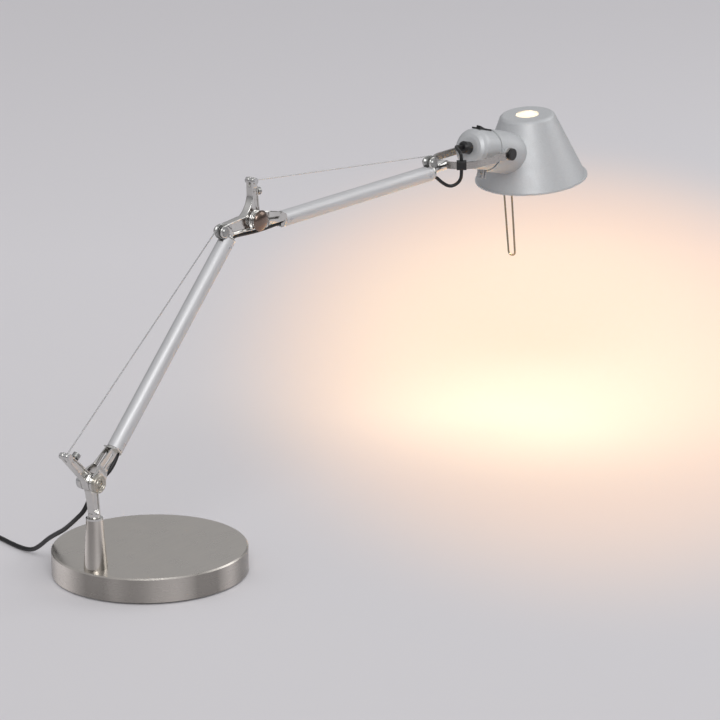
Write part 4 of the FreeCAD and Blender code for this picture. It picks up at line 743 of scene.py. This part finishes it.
def lightWorld():
    # brighter overhead, darker low down, with broad soft darker strips round the horizon
    values = studio["world"]
    world = bpy.data.worlds.new("studio")
    world.use_nodes = True
    tree = world.node_tree

    def add(kind, operation=None, *inputs):
        node = tree.nodes.new(kind)
        if operation:
            node.operation = operation
        for socket, value in enumerate(inputs):
            if isinstance(value, (int, float)):
                node.inputs[socket].default_value = value
            else:
                tree.links.new(value, node.inputs[socket])
        return node.outputs[0]

    direction = tree.nodes.new("ShaderNodeTexCoord")
    parts = tree.nodes.new("ShaderNodeSeparateXYZ")
    tree.links.new(direction.outputs["Generated"], parts.inputs[0])
    ramp = tree.nodes.new("ShaderNodeValToRGB")
    tree.links.new(parts.outputs["Z"], ramp.inputs["Fac"])
    for element, (position, color) in zip(ramp.color_ramp.elements, (values["low"], values["high"])):
        element.position = position
        element.color = (*color, 1)
    azimuth = add("ShaderNodeMath", "ARCTAN2", parts.outputs["Y"], parts.outputs["X"])
    phase = add("ShaderNodeMath", "MULTIPLY_ADD", azimuth, values["strips"], values["phase"])
    wave = add("ShaderNodeMath", "SINE", phase)
    strips = add("ShaderNodeMath", "MULTIPLY_ADD", wave, values["depth"], values["level"])
    fade = add("ShaderNodeMath", "POWER", parts.outputs["Z"], values["fade"])
    even = add("ShaderNodeMath", "MAXIMUM", strips, fade)
    strength = add("ShaderNodeMath", "MULTIPLY", even, studio["sky"])
    tree.links.new(ramp.outputs["Color"], tree.nodes["Background"].inputs["Color"])
    tree.links.new(strength, tree.nodes["Background"].inputs["Strength"])
    scene.world = world


def lightStudio():
    for name in ("key", "fill"):
        settings = studio[name]
        lamp = placeLamp(name, "AREA", settings["place"], studio["aim"], settings["power"])
        lamp.size = settings["size"]
    settings = studio["glow"]
    low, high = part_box("bulb_glass")
    under = (Vector(low) + Vector(high)) / 2 - Vector(settings["under"])
    aim = (under.x + settings["reach"][0], under.y + settings["reach"][1], 0)
    glow = placeLamp("glow", "SPOT", under, aim, settings["power"], settings["color"])
    glow.spot_size = math.radians(settings["spread"])
    glow.spot_blend = 1.0
    glow.shadow_soft_size = settings["softness"]
    # a broad amber pool on the floor with a paler core, both long in the direction that the camera looks
    only = bpy.data.collections.new("floor only")
    only.objects.link(bpy.data.objects["floor"])
    turn = Matrix.Rotation(-math.radians(camera["heading"]), 4, "Z")
    for name in ("pool", "core"):
        settings = studio[name]
        place = settings["place"]
        pool = placeLamp(name, "SPOT", place, (place[0], place[1], 0), settings["power"], settings["color"])
        pool.spot_size = math.radians(settings["spread"])
        pool.spot_blend = settings["blend"]
        pool.shadow_soft_size = settings["softness"]
        lamp = bpy.data.objects[name]
        lamp.matrix_world = Matrix.Translation(place) @ turn @ Matrix.Diagonal((settings["narrow"], 1, 1, 1))
        lamp.light_linking.receiver_collection = only
        lamp.light_linking.blocker_collection = only


placeFloor()
lightWorld()
lightStudio()
print("studio lit")
